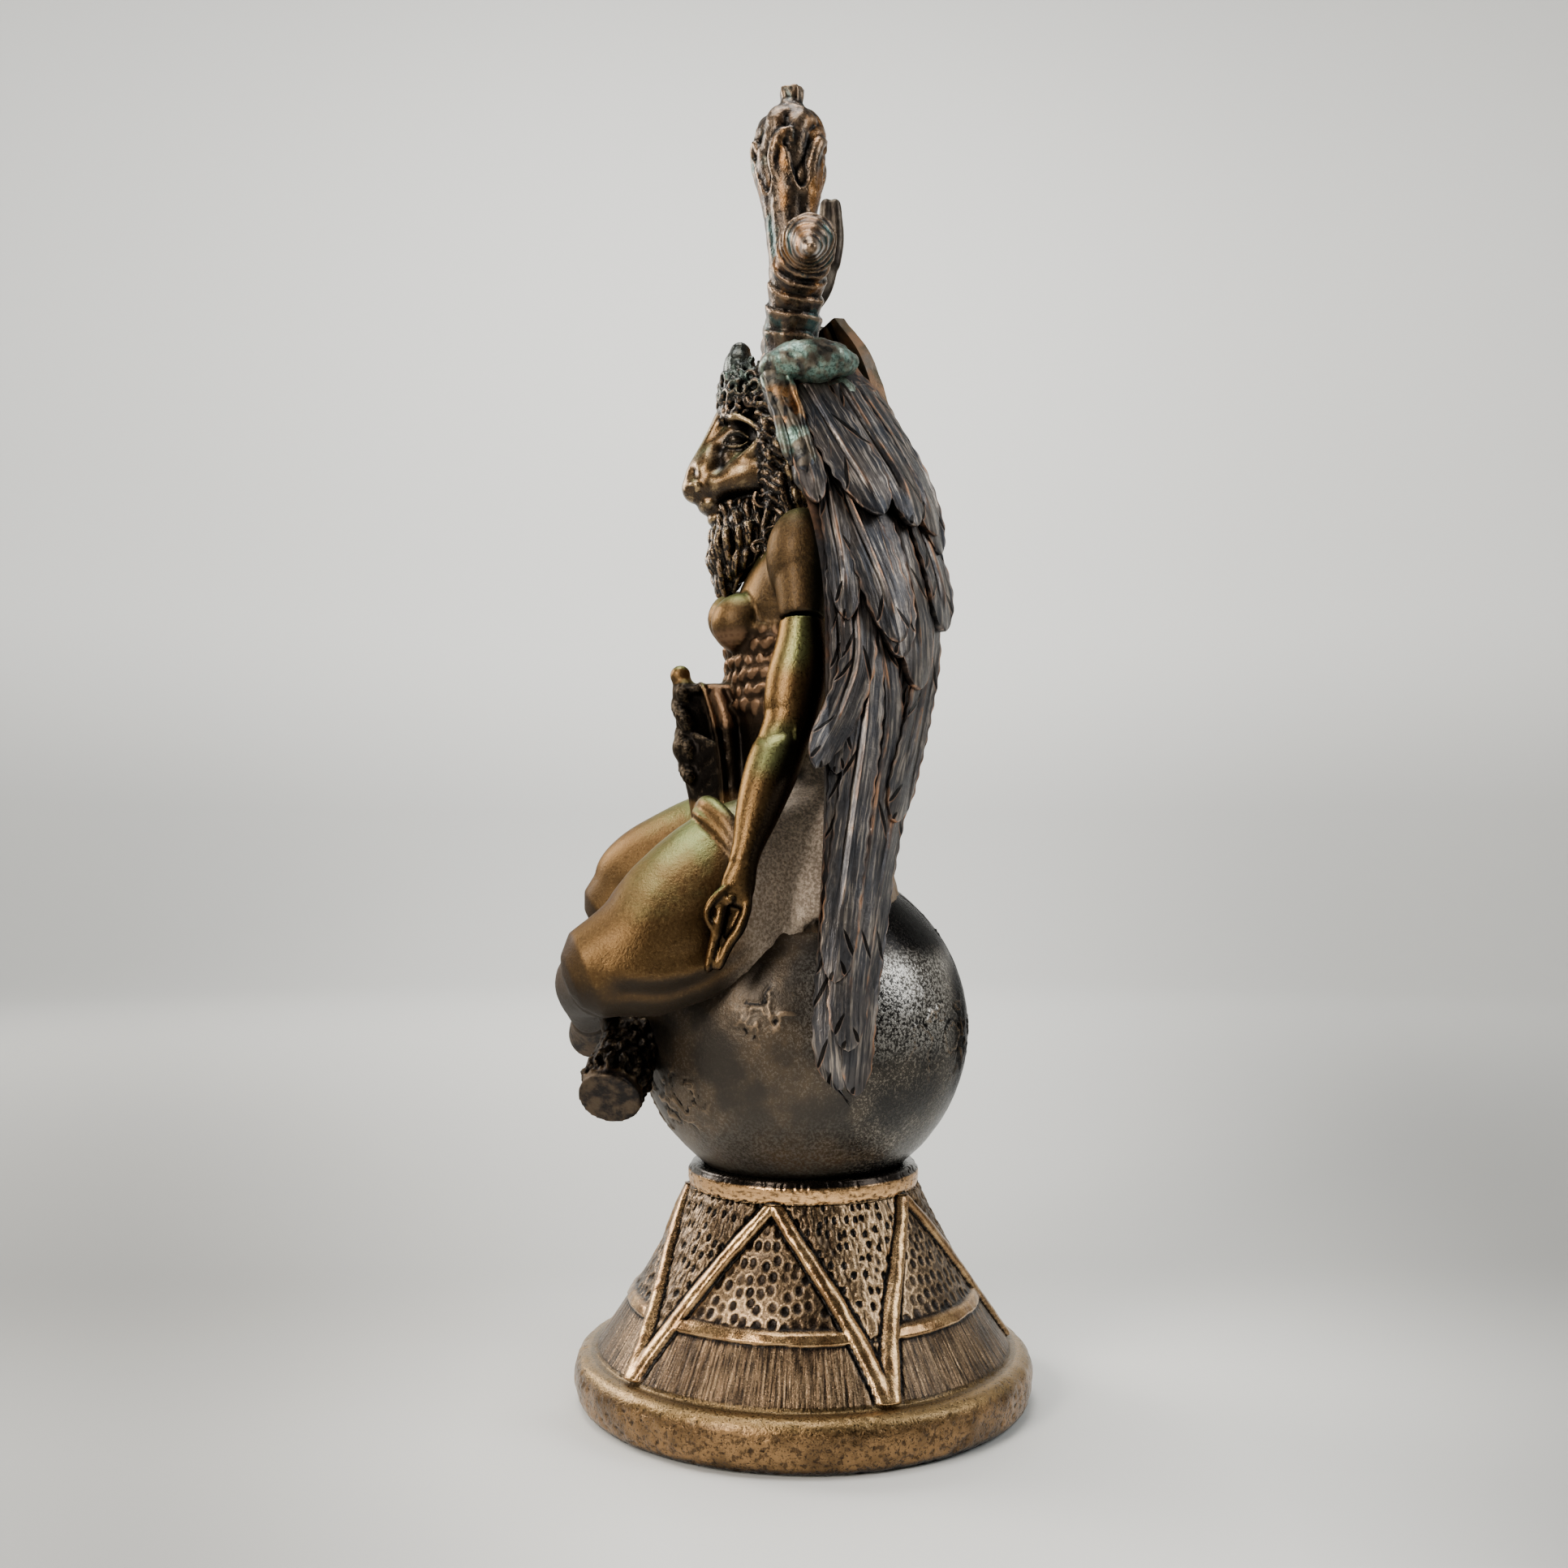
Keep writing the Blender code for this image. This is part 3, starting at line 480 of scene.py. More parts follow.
def rib_course(share):
    """Turn from a peak to its rib, which runs nearly straight from the peak to the foot."""
    half = math.pi / RIB_PAIRS
    out = DRUM_TOP_RADIUS * (1.0 - share) + DRUM_FOOT_RADIUS * share * math.cos(half)
    across = DRUM_FOOT_RADIUS * share * math.sin(half)
    return np.arctan2(across, out) + RIB_BOW * np.sin(math.pi * share)


def round_bar(distance, width):
    """The half-round section of a rib, 1 on its crest."""
    return np.sqrt(np.clip(1.0 - (1.7 * distance / width) ** 2, 0.0, 1.0))


def flat_strip(distance, width):
    return ease_in_out(2.1 - 3.2 * np.abs(distance) / width)


def dimple_field(arc, height):
    """Ringed dimples over the band."""
    away, owner = pits(arc, height, 0.0021, seed=3)
    bowl = fade(away, 0.42, 0.16)
    lip = np.exp(-((away - 0.50) / 0.08) ** 2)
    return (0.00012 * lip - 0.00030 * bowl) * (0.35 + 0.65 * owner)


def hanging_field(arc, height, distance):
    """Crowded strokes, pits and soft folds on the hanging panels."""
    spots = np.stack([arc, height, 0 * arc], -1)
    strokes = lumps(spots * (1, 0.40, 1), 0.00040, seed=5)
    pitted, which = pits(arc, height, 0.0021, seed=11)
    high = ramp(height, 0.024, 0.006)
    holes = fade(pitted, 0.36, 0.16) * (which > 0.30 + 0.25 * (1.0 - high))
    drape = lumps(spots * (1, 0.5, 1), 0.0050, seed=8)
    sunk = ease_in_out(1.0 - (distance - 0.5 * RIB_WIDTH) / 0.0016)
    return 0.00040 * strokes - 0.00045 * holes + 0.0009 * drape + 0.35 * RIB_RISE - 0.0004 * sunk


def combed_field(arc, height):
    """Upright strokes under the band."""
    spots = np.stack([arc, height, 0 * arc], -1)
    broad = lumps(spots * (1, 0.06, 1), 0.00036, seed=9)
    return 0.00022 * broad


def plinth_relief(turn, height, radius):
    """Relief of the plinth, and masks of its ribs and band, its combed strokes and its drum."""
    foot, top = RIM_HEIGHT - 0.0002, PLINTH_HEIGHT - COLLAR_HEIGHT
    drum = ((height >= foot) & (height <= top + 0.0001)).astype(float)
    worked = ease_in_out((height - RIM_HEIGHT - 0.0003) / 0.0005) * drum
    sector = 2 * math.pi / RIB_PAIRS
    # Peaks of the zigzag start at the front, and its feet lie halfway between them
    around = (turn + math.pi / 2 + sector / 2) % sector - sector / 2
    share = np.clip((top - height) / (top - foot), 0.0, 1.0)
    off_rib = (np.abs(around) - rib_course(share)) * radius
    slant = np.cos(np.arctan2(0.5 * sector * radius, top - foot))
    distance = off_rib * slant
    arc = turn * DRUM_MEAN_RADIUS
    spots = np.stack([arc, height, 0 * arc], -1)
    uneven = 1.0 + 0.30 * lumps(spots, 0.0035, seed=15)
    rib = round_bar(distance + 0.0003 * lumps(spots, 0.006, seed=16), RIB_WIDTH * uneven) * worked
    band = flat_strip(height - BAND_CENTRE_HEIGHT, BAND_WIDTH * uneven) * worked * (off_rib < 0.0)
    inside = ease_in_out((-distance - 0.5 * RIB_WIDTH) / 0.0004)
    outside = ease_in_out((distance - 0.5 * RIB_WIDTH) / 0.0004)
    above_band = ease_in_out((height - BAND_CENTRE_HEIGHT - 0.5 * BAND_WIDTH) / 0.0003)
    below_band = ease_in_out((BAND_CENTRE_HEIGHT - 0.5 * BAND_WIDTH - height) / 0.0003)
    field = inside * (above_band * dimple_field(arc, height) + below_band * combed_field(arc, height))
    field = field + outside * hanging_field(arc, height, distance)
    lines = -0.00040 * np.exp(-((np.abs(distance) - 0.66 * RIB_WIDTH) / 0.00026) ** 2)
    dents = 0.00016 * lumps(spots, 0.0011, seed=4)
    relief = np.maximum((RIB_RISE + dents) * rib, (BAND_RISE + dents) * band)
    relief = (relief + (1.0 - np.maximum(rib, band)) * (field + lines)) * worked
    bare = 1.0 - worked
    nicks, chance = pits(arc, height * 1.3, 0.0017, seed=21)
    nick = fade(nicks, 0.32, 0.16) * (chance > 0.55)
    worn = 0.00030 * lumps(spots * (0.8, 1, 1), 0.0019, seed=2)
    worn = worn + 0.00012 * lumps(spots, 0.0007, seed=6)
    hammered = ease_in_out((RIM_HEIGHT + 0.0006 - height) / 0.0006)
    skin = bare * (height > 0.0004) * (radius > SEAT_OPENING_RADIUS + 0.0012)
    relief = relief + skin * (worn * (0.35 + 0.65 * hammered) - 0.00020 * nick)
    edge = ease_in_out((height - top - 0.0029) / 0.0003) * (radius > SEAT_OPENING_RADIUS + 0.0012)
    return relief - 0.0003 * edge, np.maximum(rib ** 0.7, band), below_band * inside * worked, worked


def build_plinth():
    # The unrolled drum's seam is at the back
    turns = 0.5 * math.pi + full_turn(PLINTH_COLUMNS)
    profile = plinth_profile()
    radius, height = profile[:, :1], profile[:, 1:]
    relief, rib, combed, drum = plinth_relief(turns + 0 * height, height + 0 * turns, radius + 0 * turns)
    reach = radius + relief
    rings = np.stack([reach * np.cos(turns), reach * np.sin(turns), height + 0 * reach], -1)
    clay = Clay()
    clay.skin(in_units(rings))
    obj = clay.finish("plinth_drum")
    mesh = obj.data
    mesh.shade_smooth()
    for name, values in (("rib", rib), ("combed", combed), ("drum", drum)):
        keep_value(mesh, name, np.concatenate([values.ravel(), [0.0, 0.0]]))
    unrolled = np.stack([turns * DRUM_MEAN_RADIUS + 0 * height, height + 0 * turns, 0 * reach], -1)
    keep_place(mesh, "unrolled", np.vstack([unrolled.reshape(-1, 3), np.zeros((2, 3))]))
    wear_and_shade_marks(mesh, broad_rounds=16, broad=0.40)
    return obj


# Globe

# Raised broken coasts and cracks on the globe: (middle y, z, radius) as seen from the left side
COASTS = ((-8.0, -25.5, 4.6), (23.0, -30.0, 6.5), (-24.0, -42.0, 6.0), (3.0, -9.5, 4.0))


def build_globe():
    bm = bmesh.new()
    bmesh.ops.create_icosphere(bm, subdivisions=7, radius=1.0)
    mesh = bpy.data.meshes.new("globe_ball")
    bm.to_mesh(mesh)
    bm.free()
    out = unit(points_of(mesh))
    spots = out * GLOBE_RADIUS
    side = in_units(spots + GLOBE_CENTRE)[:, 1:]
    land = np.zeros(len(out))
    for y, z, reach in COASTS:
        away = np.linalg.norm(side - np.array([y, z]), axis=1)
        land = np.maximum(land, ease_in_out(1.5 - away / reach))
    far = clouds(spots, 0.013, seed=31)
    land = np.maximum(land * (out[:, 0] > 0), ramp(far, 0.56, 0.08) * (out[:, 0] < 0.2))
    shore = clouds(spots, 0.0045, seed=33) + 0.45 * clouds(spots, 0.0016, seed=34)
    coast = np.exp(-((shore - 0.74) / 0.035) ** 2)
    crack = np.exp(-((shore - 0.66) / 0.025) ** 2)
    plateau = ramp(shore, 0.70, 0.05)
    relief = land * (0.00030 * coast - 0.00025 * crack + 0.00012 * plateau)
    relief = relief + 0.00010 * lumps(spots, 0.004, seed=35)
    relief = relief + 0.00005 * lumps(spots, 0.0009, seed=36)
    move_points(mesh, spots + out * relief[:, None] + GLOBE_CENTRE)
    mesh.shade_smooth()
    keep_value(mesh, "coast", land * np.maximum(coast, 0.3 * plateau))
    wear_and_shade_marks(mesh, fine_rounds=2, broad_rounds=14, fine=0.03, broad=0.18)
    return new_object("globe_ball", mesh)


# Body

def add_torso(clay):
    limb(clay, [
        (0, 1, -15, 25, 16.5), (0, 0.5, -7, 24.5, 17), (0, 0, 0, 23, 15.5), (0, -0.8, 6, 20, 13.2),
        (0, -2, 12, 16.5, 11), (0, -3.6, 18, 13.2, 8.9), (0, -4.3, 24, 12.2, 8.3), (0, -4.5, 31, 13, 9.2),
        (0, -3.8, 40, 14.6, 10), (0, -2.8, 48, 17, 9.4), (0, -1.8, 54, 17.5, 7.6), (0, -1.4, 58.5, 11, 6.3),
        (0, -2.2, 63, 6.6, 6.2),
    ], sides=48)
    ball(clay, (8.2, -11.6, 42.9), (5.4, 5.6, 5.5))
    ball(clay, (-8.2, -12.2, 46.6), (5.4, 5.6, 5.5))
    ball(clay, (17.8, -1.3, 53.0), (6.6, 6.3, 8.8))
    ball(clay, (-18.4, -1.0, 55.0), (6.6, 6.3, 7.6))
    for side, high in ((1, 0.0), (-1, 2.0)):
        limb(clay, on_side(side, [
            (2.5, -1.4, 60, 4.2, 4.6), (10, -1.4, 55.5 + 0.5 * high, 4.2, 5),
            (17, -1.4, 53.0 + high, 4.6, 5.2),
        ]), across=(0.0, 0.0, 1.0))
        # Folds of the breast muscle running into the armpit
        for shift, thick in ((0.4, 1.0), (2.4, 0.9)):
            limb(clay, on_side(side, [
                (10.5, -8.8 + 0.4 * shift, 41.5 + high, thick),
                (13.4, -7.0 + 0.8 * shift, 46.0 + high, thick), (17, -5.2 + shift, 52.0 + high, thick),
                (18.4, -3.4 + shift, 56.0 + high, thick),
            ]), sides=14)
    # The left shoulder's stub, down to the seam
    seam = (*(SEAM_CENTRE - SEAM_AXIS * SEAM_GAP), 4.5, 4)
    limb(clay, [(18.5, -1.4, 52, 5.4, 5.2), (19.8, -1.4, 46, 4.8, 4.5), seam], sides=32, round_ends=False)
    add_scales(clay)


def add_scales(clay):
    """Overlapping scales over the belly, between breast and lap."""
    girth = smooth_rows([(12, -2.0, 16.5, 11.0), (18, -3.6, 13.2, 8.9), (24, -4.3, 12.2, 8.3),
                         (31, -4.5, 13.0, 9.2), (40, -3.8, 14.6, 10.0)], 8)
    rows = 6
    for k in range(rows):
        height = 40.2 - 2.6 * k
        middle, wide, deep = [np.interp(height, girth[:, 0], girth[:, j]) for j in (1, 2, 3)]
        count = 13
        for j in range(count):
            jitter = math.sin(5.1 * j + 2.3 * k)
            turn = math.radians(-172 + 164 * (j + 0.5 * (k % 2) + 0.16 * jitter) / (count - 1))
            spot = (wide * math.cos(turn), middle + deep * math.sin(turn), height + 0.5 * jitter)
            ball(clay, spot, (1.7 + 0.4 * jitter, 0.7, 2.1 - 0.3 * jitter), tilt=0.50 + 0.25 * jitter,
                 turn=turn + math.pi / 2 + 0.25 * jitter, sides=12, rise=9)


def add_raised_arm(clay):
    limb(clay, [
        (-19, -1, 55, 5.8, 6), (-25, -0.6, 66, 4.9, 5.2), (-32, 0.2, 80, 4.2, 4.4), (-37, 1, 90, 3.7, 4),
        (-37, 1.3, 99, 3.9, 4.2), (-35.5, 1.5, 110, 3, 3.1), (-34.4, 1.8, 118.5, 2.4, 2.5),
    ])
    limb(clay, [(-34.3, 2, 118, 2.1, 2.8), (-33.8, 4.2, 124, 2.3, 4.6), (-33.2, 5.8, 131, 2.2, 4.7)])
    for shift in (0.0, 2.7):
        limb(clay, [
            (-33, 6.2 + shift, 128.5, 1.7, 1.6), (-32.8, 6.9 + shift, 134, 1.7, 1.6),
            (-32.4, 7.3 + 0.7 * shift, 141.2, 1.4, 1.35),
        ], sides=16)
        limb(clay, [(-33.2, 1.6 + shift, 128.5, 1.2), (-31, 1.2 + shift, 131.5, 1.2),
                    (-29.6, 1.2 + shift, 128.5, 1.1)], sides=12)
    limb(clay, [(-32.6, 0.2, 122, 1.3), (-30.6, -0.8, 126, 1.2), (-29.8, 0.6, 129.6, 1.1)], sides=12)


LEFT_THIGH = [(12.5, 5, 3, 10.4, 11.5), (13.4, -4, -1, 10, 13.2), (17.6, -12, -4, 9.2, 13.8),
              (22.2, -20.3, -10.2, 9.2, 13.4), (25.5, -27.8, -15.2, 9, 11.2), (26.8, -34, -17.8, 7.6, 8.6)]
RIGHT_THIGH = [(-13, -4, 1, 10, 12.4), (-19, -13.5, 2, 9.8, 12.6), (-24, -23, -0.8, 9.2, 11.8),
               (-27, -30.6, -4.6, 8.6, 10.8), (-27.5, -35, -8.4, 7.2, 8.2)]
LEFT_SHIN = [(25, -34.5, -20, 6.4), (14, -38, -21, 5.8, 6.2), (4, -39.4, -22.8, 5.2, 5.8),
             (-5, -40, -26, 4.2, 4.6), (-11, -39.8, -28.8, 3.6, 3.8)]
RIGHT_SHIN = [(-26, -34, -13, 6.4, 6.8), (-14, -34.6, -19, 5.6, 6.4), (-3, -33.6, -25, 5, 5.8),
              (7, -31.6, -30, 4.6, 5.2), (12, -31.2, -33, 4.2, 4.6)]
# Hooves: (ankle, middle of the sole)
NEAR_HOOF = (np.array((11.0, -31.0, -32.0)), np.array((23.0, -33.8, -40.0)))
FAR_HOOF = (np.array((-10.0, -39.8, -28.5)), np.array((-22.0, -39.4, -33.6)))


def add_legs(clay):
    limb(clay, LEFT_THIGH, sides=40, steps=10)
    limb(clay, RIGHT_THIGH, sides=40, steps=10)
    limb(clay, LEFT_SHIN, across=FORE, sides=32)
    limb(clay, RIGHT_SHIN, across=FORE, sides=32)
    add_hoof(clay, *NEAR_HOOF, shaggy=True)
    add_hoof(clay, *FAR_HOOF, shaggy=False)


def add_hoof(clay, ankle, sole, shaggy):
    """A hoof that widens to a flat sole, with shaggy fur down to its rim."""
    rows = []
    for share, radius in ((0.2, 3.8), (0.45, 4.2), (0.7, 4.8), (0.94, 5.4), (1.0, 5.4)):
        rows.append((*(ankle + (sole - ankle) * share), radius, radius * 0.94))
    limb(clay, rows, across=FORE, sides=36, steps=5, round_ends=False)
    if not shaggy:
        return
    out = unit(sole - ankle)
    side = unit(np.cross(out, (0.0, 0.0, 1.0)))
    rise = np.cross(side, out)
    tufts = 14
    for row, (ahead, reach) in enumerate(((-1.0, 4.2), (2.4, 4.3), (5.8, 4.6), (8.6, 5.0))):
        for k in range(tufts):
            turn = 2 * math.pi * (k + 0.5 * (row % 2)) / tufts
            around = side * math.cos(turn) + rise * math.sin(turn)
            start = ankle + reach * around + out * (ahead + 0.6 * math.sin(3.7 * k + row))
            middle = start + out * 2.2 + 0.5 * around
            tip = start + out * (4.0 + 0.6 * math.sin(2.1 * k)) + 0.1 * around
            strand(clay, [start, middle, tip], 0.95, 0.35, wave=0.2, waves=1.0, phase=1.3 * k, steps=4)


# The shield's rim over the lap, seen from the side (y, z)
SHIELD_RIM = ((-14.5, 7), (-14.8, 12.5), (-15.5, 19.4), (-16.7, 25.8), (-18, 30.2))


def add_lap(clay):
    """The cloth rolled over the lap, and the snake-wound staff on its shield."""
    for side in (-1, 1):
        limb(clay, on_side(side, [
            (0, -18.2, 9.4, 2, 1.8), (9, -18, 9.4, 2, 1.8), (15, -17.9, 9.4, 1.8, 1.7),
            (20.5, -17.6, 9.3, 1.7, 1.6), (22.9, -16.3, 8.4, 1.7, 1.6), (24.8, -14.4, 6.2, 1.7, 1.6),
            (26, -12.6, 3.2, 1.5), (26.2, -11.2, 0.4, 1.2),
        ]), across=FORE, sides=20)
        limb(clay, on_side(side, [
            (19, -19.8, 8.2, 0.6), (22.2, -19.2, 7.4, 0.6), (24.4, -17.2, 5.8, 0.6), (26, -15, 3.4, 0.6),
            (26.9, -13, 0.6, 0.5),
        ]), across=FORE, sides=12)
        # The shield's rim
        limb(clay, [(side * 7.2, y, z, 0.55) for y, z in SHIELD_RIM]
             + [(side * 5.2, -18.8, 32.0, 0.6, 0.6), (0, -19.2, 32.6, 0.6, 0.6)], sides=12)
    limb(clay, [
        (0, -13.2, 4, 7.2, 4.4), (0, -12.9, 12, 7.2, 2.2), (0, -13.4, 19, 7.2, 2.4), (0, -14.2, 26, 7, 2.9),
        (0, -15.6, 30.4, 6.2, 3), (0, -16.2, 32, 5, 2.8),
    ], sides=36, round_ends=False)
    limb(clay, [(0, -18.6, 8, 2), (0, -20.4, 18, 2), (0, -22.4, 30, 1.8), (0, -22.8, 33, 1.4)], sides=16)
    # A dark web of cast metal joins the staff to its shield, level along its top
    limb(clay, [
        (0, -17.6, 8, 2.6), (0, -18.6, 16, 2.6, 3.4), (0, -19.2, 24, 2.6, 3.8), (0, -19.2, 31.6, 2.6, 3.8),
    ], sides=20, round_ends=False)
    limb(clay, [(0, -21.6, 31.4, 3.4, 1.3), (0, -17, 31.7, 5, 1.2), (0, -13, 31.6, 6.6, 1.2)], sides=20)
    ball(clay, (0, -22.8, 34.5), (1.95, 1.95, 1.95))
    limb(clay, [(0, -21.8, 31.4, 2.9, 2.1), (0, -22, 32.4, 2.5, 1.9)], sides=20)
    add_snakes(clay)


def add_snakes(clay):
    coils = 1.4
    for phase in (0.4, math.pi + 0.4):
        snake = []
        beads = 40
        for k in range(beads):
            share = k / (beads - 1)
            turn = phase + 2 * math.pi * coils * share
            reach = 3.4 - 0.8 * share
            thick = 1.45 + 0.10 * math.cos(math.pi * k)
            snake.append((reach * math.cos(turn), -20.6 - 1.9 * share - 0.9 * math.sin(turn),
                          15.5 + 15.5 * share, thick, thick))
        limb(clay, snake, sides=12, steps=2)
    # The snakes' thickest bend swells at the front, and a tail runs down from it
    ball(clay, (0.6, -22.4, 20.6), (3.0, 1.8, 2.6), tilt=0.2)
    limb(clay, [(1.2, -21.8, 19, 1.7, 1.5), (2.4, -20.4, 15.4, 1.3, 1.2), (1.6, -19.2, 11.4, 1, 0.9)])
    # Grooved strands hang beside the staff
    for side in (-1, 1):
        for k in range(6):
            strand(clay, on_side(side, [
                (3.0 + 0.65 * k, -20.4 + 0.95 * k, 23.5 - 0.5 * k), (3.2 + 0.65 * k, -19.4 + 0.85 * k, 16),
                (3.2 + 0.65 * k, -18.6 + 0.75 * k, 9),
            ]), 0.62, 0.55, wave=0.12, waves=4.0, phase=1.7 * k, steps=12)


# Soft folds of the cloth under the near thigh: lines (y, z), half width, rise
THIGH_FOLDS = (
    (((-32, -18.6), (-26, -19.4), (-20.5, -18.6), (-14, -15)), 2, 0.45),
    (((-33, -24), (-26, -24.4), (-18.5, -21.8), (-10, -16.5), (-2, -10)), 1.6, 0.40),
    (((-30, -21.6), (-24, -22), (-17, -19.8), (-10, -15.4)), 1.3, -0.40),
    (((-24, -16.2), (-18, -15.2), (-12, -12)), 1.7, -0.22),
)


def carve_body(mesh):
    """Cloth folds and fur grain pressed into the body's skin."""
    points = points_of(mesh)
    spots = in_units(points)
    rise = np.zeros(len(spots))
    flank = ramp(np.abs(spots[:, 0]), 12.0, 5.0)
    for line, width, high in THIGH_FOLDS:
        rise += high * np.exp(-(off_line(spots[:, 1:], line) / width) ** 2) * flank
    rise += fur_mask(spots) * 1.1 * lumps(spots * (1, 1, 0.7), 0.9, seed=41)
    rise += 0.10 * lumps(spots, 3.0, seed=42)
    on_globe = np.linalg.norm(points - GLOBE_CENTRE, axis=1) - GLOBE_RADIUS
    rise += ease_in_out(1.0 - on_globe / (1.6 * UNIT)) * 0.5 * (clouds(spots, 1.3, seed=43) - 0.4)
    seat, crack, lip = seat_edge(spots)
    raise_skin(mesh, rise + (0.25 * lip - 0.45 * crack - 0.5 * seat))


def beside_hoof(spots, ankle, sole):
    """How far places lie ahead of a hoof's ankle, and how far from the line to its sole."""
    out = unit(sole - ankle)
    ahead = (spots - ankle) @ out
    return ahead, np.linalg.norm(spots - ankle - ahead[:, None] * out, axis=1)


def fur_mask(spots):
    ahead, away = beside_hoof(spots, *NEAR_HOOF)
    return ramp(ahead, -3.2, 1.4) * fade(ahead, 13.2, 0.9) * fade(away, 8.5, 1.6)


def hoof_mask(spots):
    """The horny part of each hoof, past its fur cuff."""
    horn = np.zeros(len(spots))
    for hoof in (NEAR_HOOF, FAR_HOOF):
        ahead, away = beside_hoof(spots, *hoof)
        horn = np.maximum(horn, ramp(ahead, 2.0, 1.2) * fade(away, 7.5, 1.0))
    return horn


def lap_mask(spots):
    """The dark snakes, strands and shield over the lap."""
    x, y, z = spots.T
    rim = np.interp(z, [row[1] for row in SHIELD_RIM], [row[0] for row in SHIELD_RIM])
    return (fade(np.abs(x), 8.6, 1.2) * ease_in_out((rim - 0.5 - y) / 0.5)
            * ramp(z, 10.6, 1.0) * fade(z, 33.2, 0.5))


# Where the left hip meets the globe, seen from the side (y, z)
HIP_EDGE = ((-17, -23.4), (-13.4, -21), (-10.2, -18.8), (-5.3, -14.9), (0.2, -10.8), (3, -8.6))


def seat_edge(spots):
    """Below the hip's ragged lower edge, its crack and the bright lip over it."""
    x, y, z = spots.T
    line = np.array(HIP_EDGE)
    ragged = 1.2 * lumps(spots, 2.0, seed=47) + 0.6 * lumps(spots, 0.8, seed=48)
    over = z - np.interp(y, line[:, 0], line[:, 1]) - ragged
    here = ramp(x, 11.0, 3.0) * ramp(y, -13.5, 3.0)
    seat = here * fade(over, 0.3, 0.5)
    crack = here * np.exp(-((over - 0.1) / 0.38) ** 2)
    lip = here * np.exp(-((over - 0.95) / 0.30) ** 2)
    return seat, crack, lip


def belly_mask(spots):
    x, y, z = spots.T
    return (ramp(z, 11.0, 2.0) * fade(z, 42.0, 2.0) * fade(y, 0.5, 2.0) * fade(np.abs(x), 16.0, 1.0)
            * ramp(y, -19.0, 1.5))


def build_body():
    clay = Clay()
    for add in (add_torso, add_raised_arm, add_legs, add_lap):
        add(clay)
    obj = clay.finish("figure_body")
    one_skin(obj, BODY_GRAIN, share=BODY_SHARE)
    mesh = obj.data
    carve_body(mesh)
    mesh.shade_smooth()
    spots = in_units(points_of(mesh))
    fur = fur_mask(spots)
    seat, crack, lip = seat_edge(spots)
    masks = {"fur": np.maximum(fur, lap_mask(spots)), "scaled": belly_mask(spots), "seat": seat,
             "crack": crack, "lip": lip, "hoof": hoof_mask(spots) * (1.0 - fur)}
    for name, values in masks.items():
        keep_value(mesh, name, values)
    wear_and_shade_marks(mesh)
    return obj


# Head

HEAD_MIDDLE = (0.0, -5.0, 74.0)
FIBRE_DEPTH = 0.34


def add_face(clay):
    ball(clay, (0, -3.2, 80.0), (8.8, 9.6, 10.6), sides=40, rise=24)
    # Muzzle, from the brow down the straight nose to its tip
    limb(clay, [
        (0, -6.6, 78, 7.2, 8.2), (0, -11.2, 75.8, 6, 7), (0, -15.3, 73, 4.9, 5.7), (0, -18.4, 70.4, 4.1, 4.6),
        (0, -19.8, 69.9, 3.2, 3),
    ], sides=40)
    limb(clay, [
        (0, -14, 85.4, 2.8, 1.8), (0, -17.2, 78.9, 1.9, 1.6), (0, -20.2, 73.5, 1.9, 1.5),
        (0, -21.3, 70.9, 2.2, 1.2),
    ], sides=20)
    ball(clay, (0, -20.5, 69.8), (2.7, 1.8, 1.9))
    # Upper lip, lower lip and chin
    ball(clay, (0, -17.0, 66.6), (3.4, 2.8, 1.9))
    ball(clay, (0, -16.0, 63.9), (2.7, 2.0, 1.3))
    limb(clay, [(0, -14.6, 65.2, 3.4, 2.4), (0, -9, 64.8, 5, 4)], sides=24)
    ball(clay, (0, -12.4, 62.4), (3.9, 3.8, 3.2))
    for side in (-1, 1):
        # Cheek, brow, cheekbone and the wing of the nostril
        limb(clay, on_side(side, [
            (5.6, -5.5, 72.4, 3.4, 4.8), (4.6, -10.5, 71.4, 3.4, 4.2), (3, -15.6, 70.2, 2.8, 3.2),
        ]), sides=28)
        limb(clay, on_side(side, [
            (3.4, -13.4, 82.6, 1), (5.2, -13, 81.8, 1.3, 1.2), (6.8, -11.4, 80.8, 1.3, 1.2),
            (8.2, -8.4, 78.8, 1.1),
        ]), sides=16)
        limb(clay, on_side(side, [
            (8.6, -7.6, 77.4, 1.3), (7.6, -9.4, 75.4, 1.4, 1.3), (6.2, -11.8, 73.6, 1.1),
        ]), sides=16)
        ball(clay, (side * 2.9, -19.8, 69.5), (1.2, 1.6, 1.2), sides=16)


def add_eyes(clay):
    """Eyeballs and their lids, set deep into the sockets after those are pressed in."""
    for side in (-1, 1):
        ball(clay, (side * 4.2, -12.4, 77.8), (1.6, 1.9, 1.3), sides=20)
        limb(clay, on_side(side, [
            (4.2, -15.2, 77.4, 0.25), (5.2, -13.8, 78.8, 0.36, 0.32), (5.9, -12, 79.1, 0.42, 0.36),
            (6.2, -10.2, 77.9, 0.34, 0.28),
        ]), sides=10)
        limb(clay, on_side(side, [
            (4.2, -15.2, 77.1, 0.25), (5.1, -13.6, 76.5, 0.30, 0.26), (5.7, -11.8, 76.5, 0.30, 0.26),
            (6.1, -10.4, 77.2, 0.25, 0.24),
        ]), sides=10)


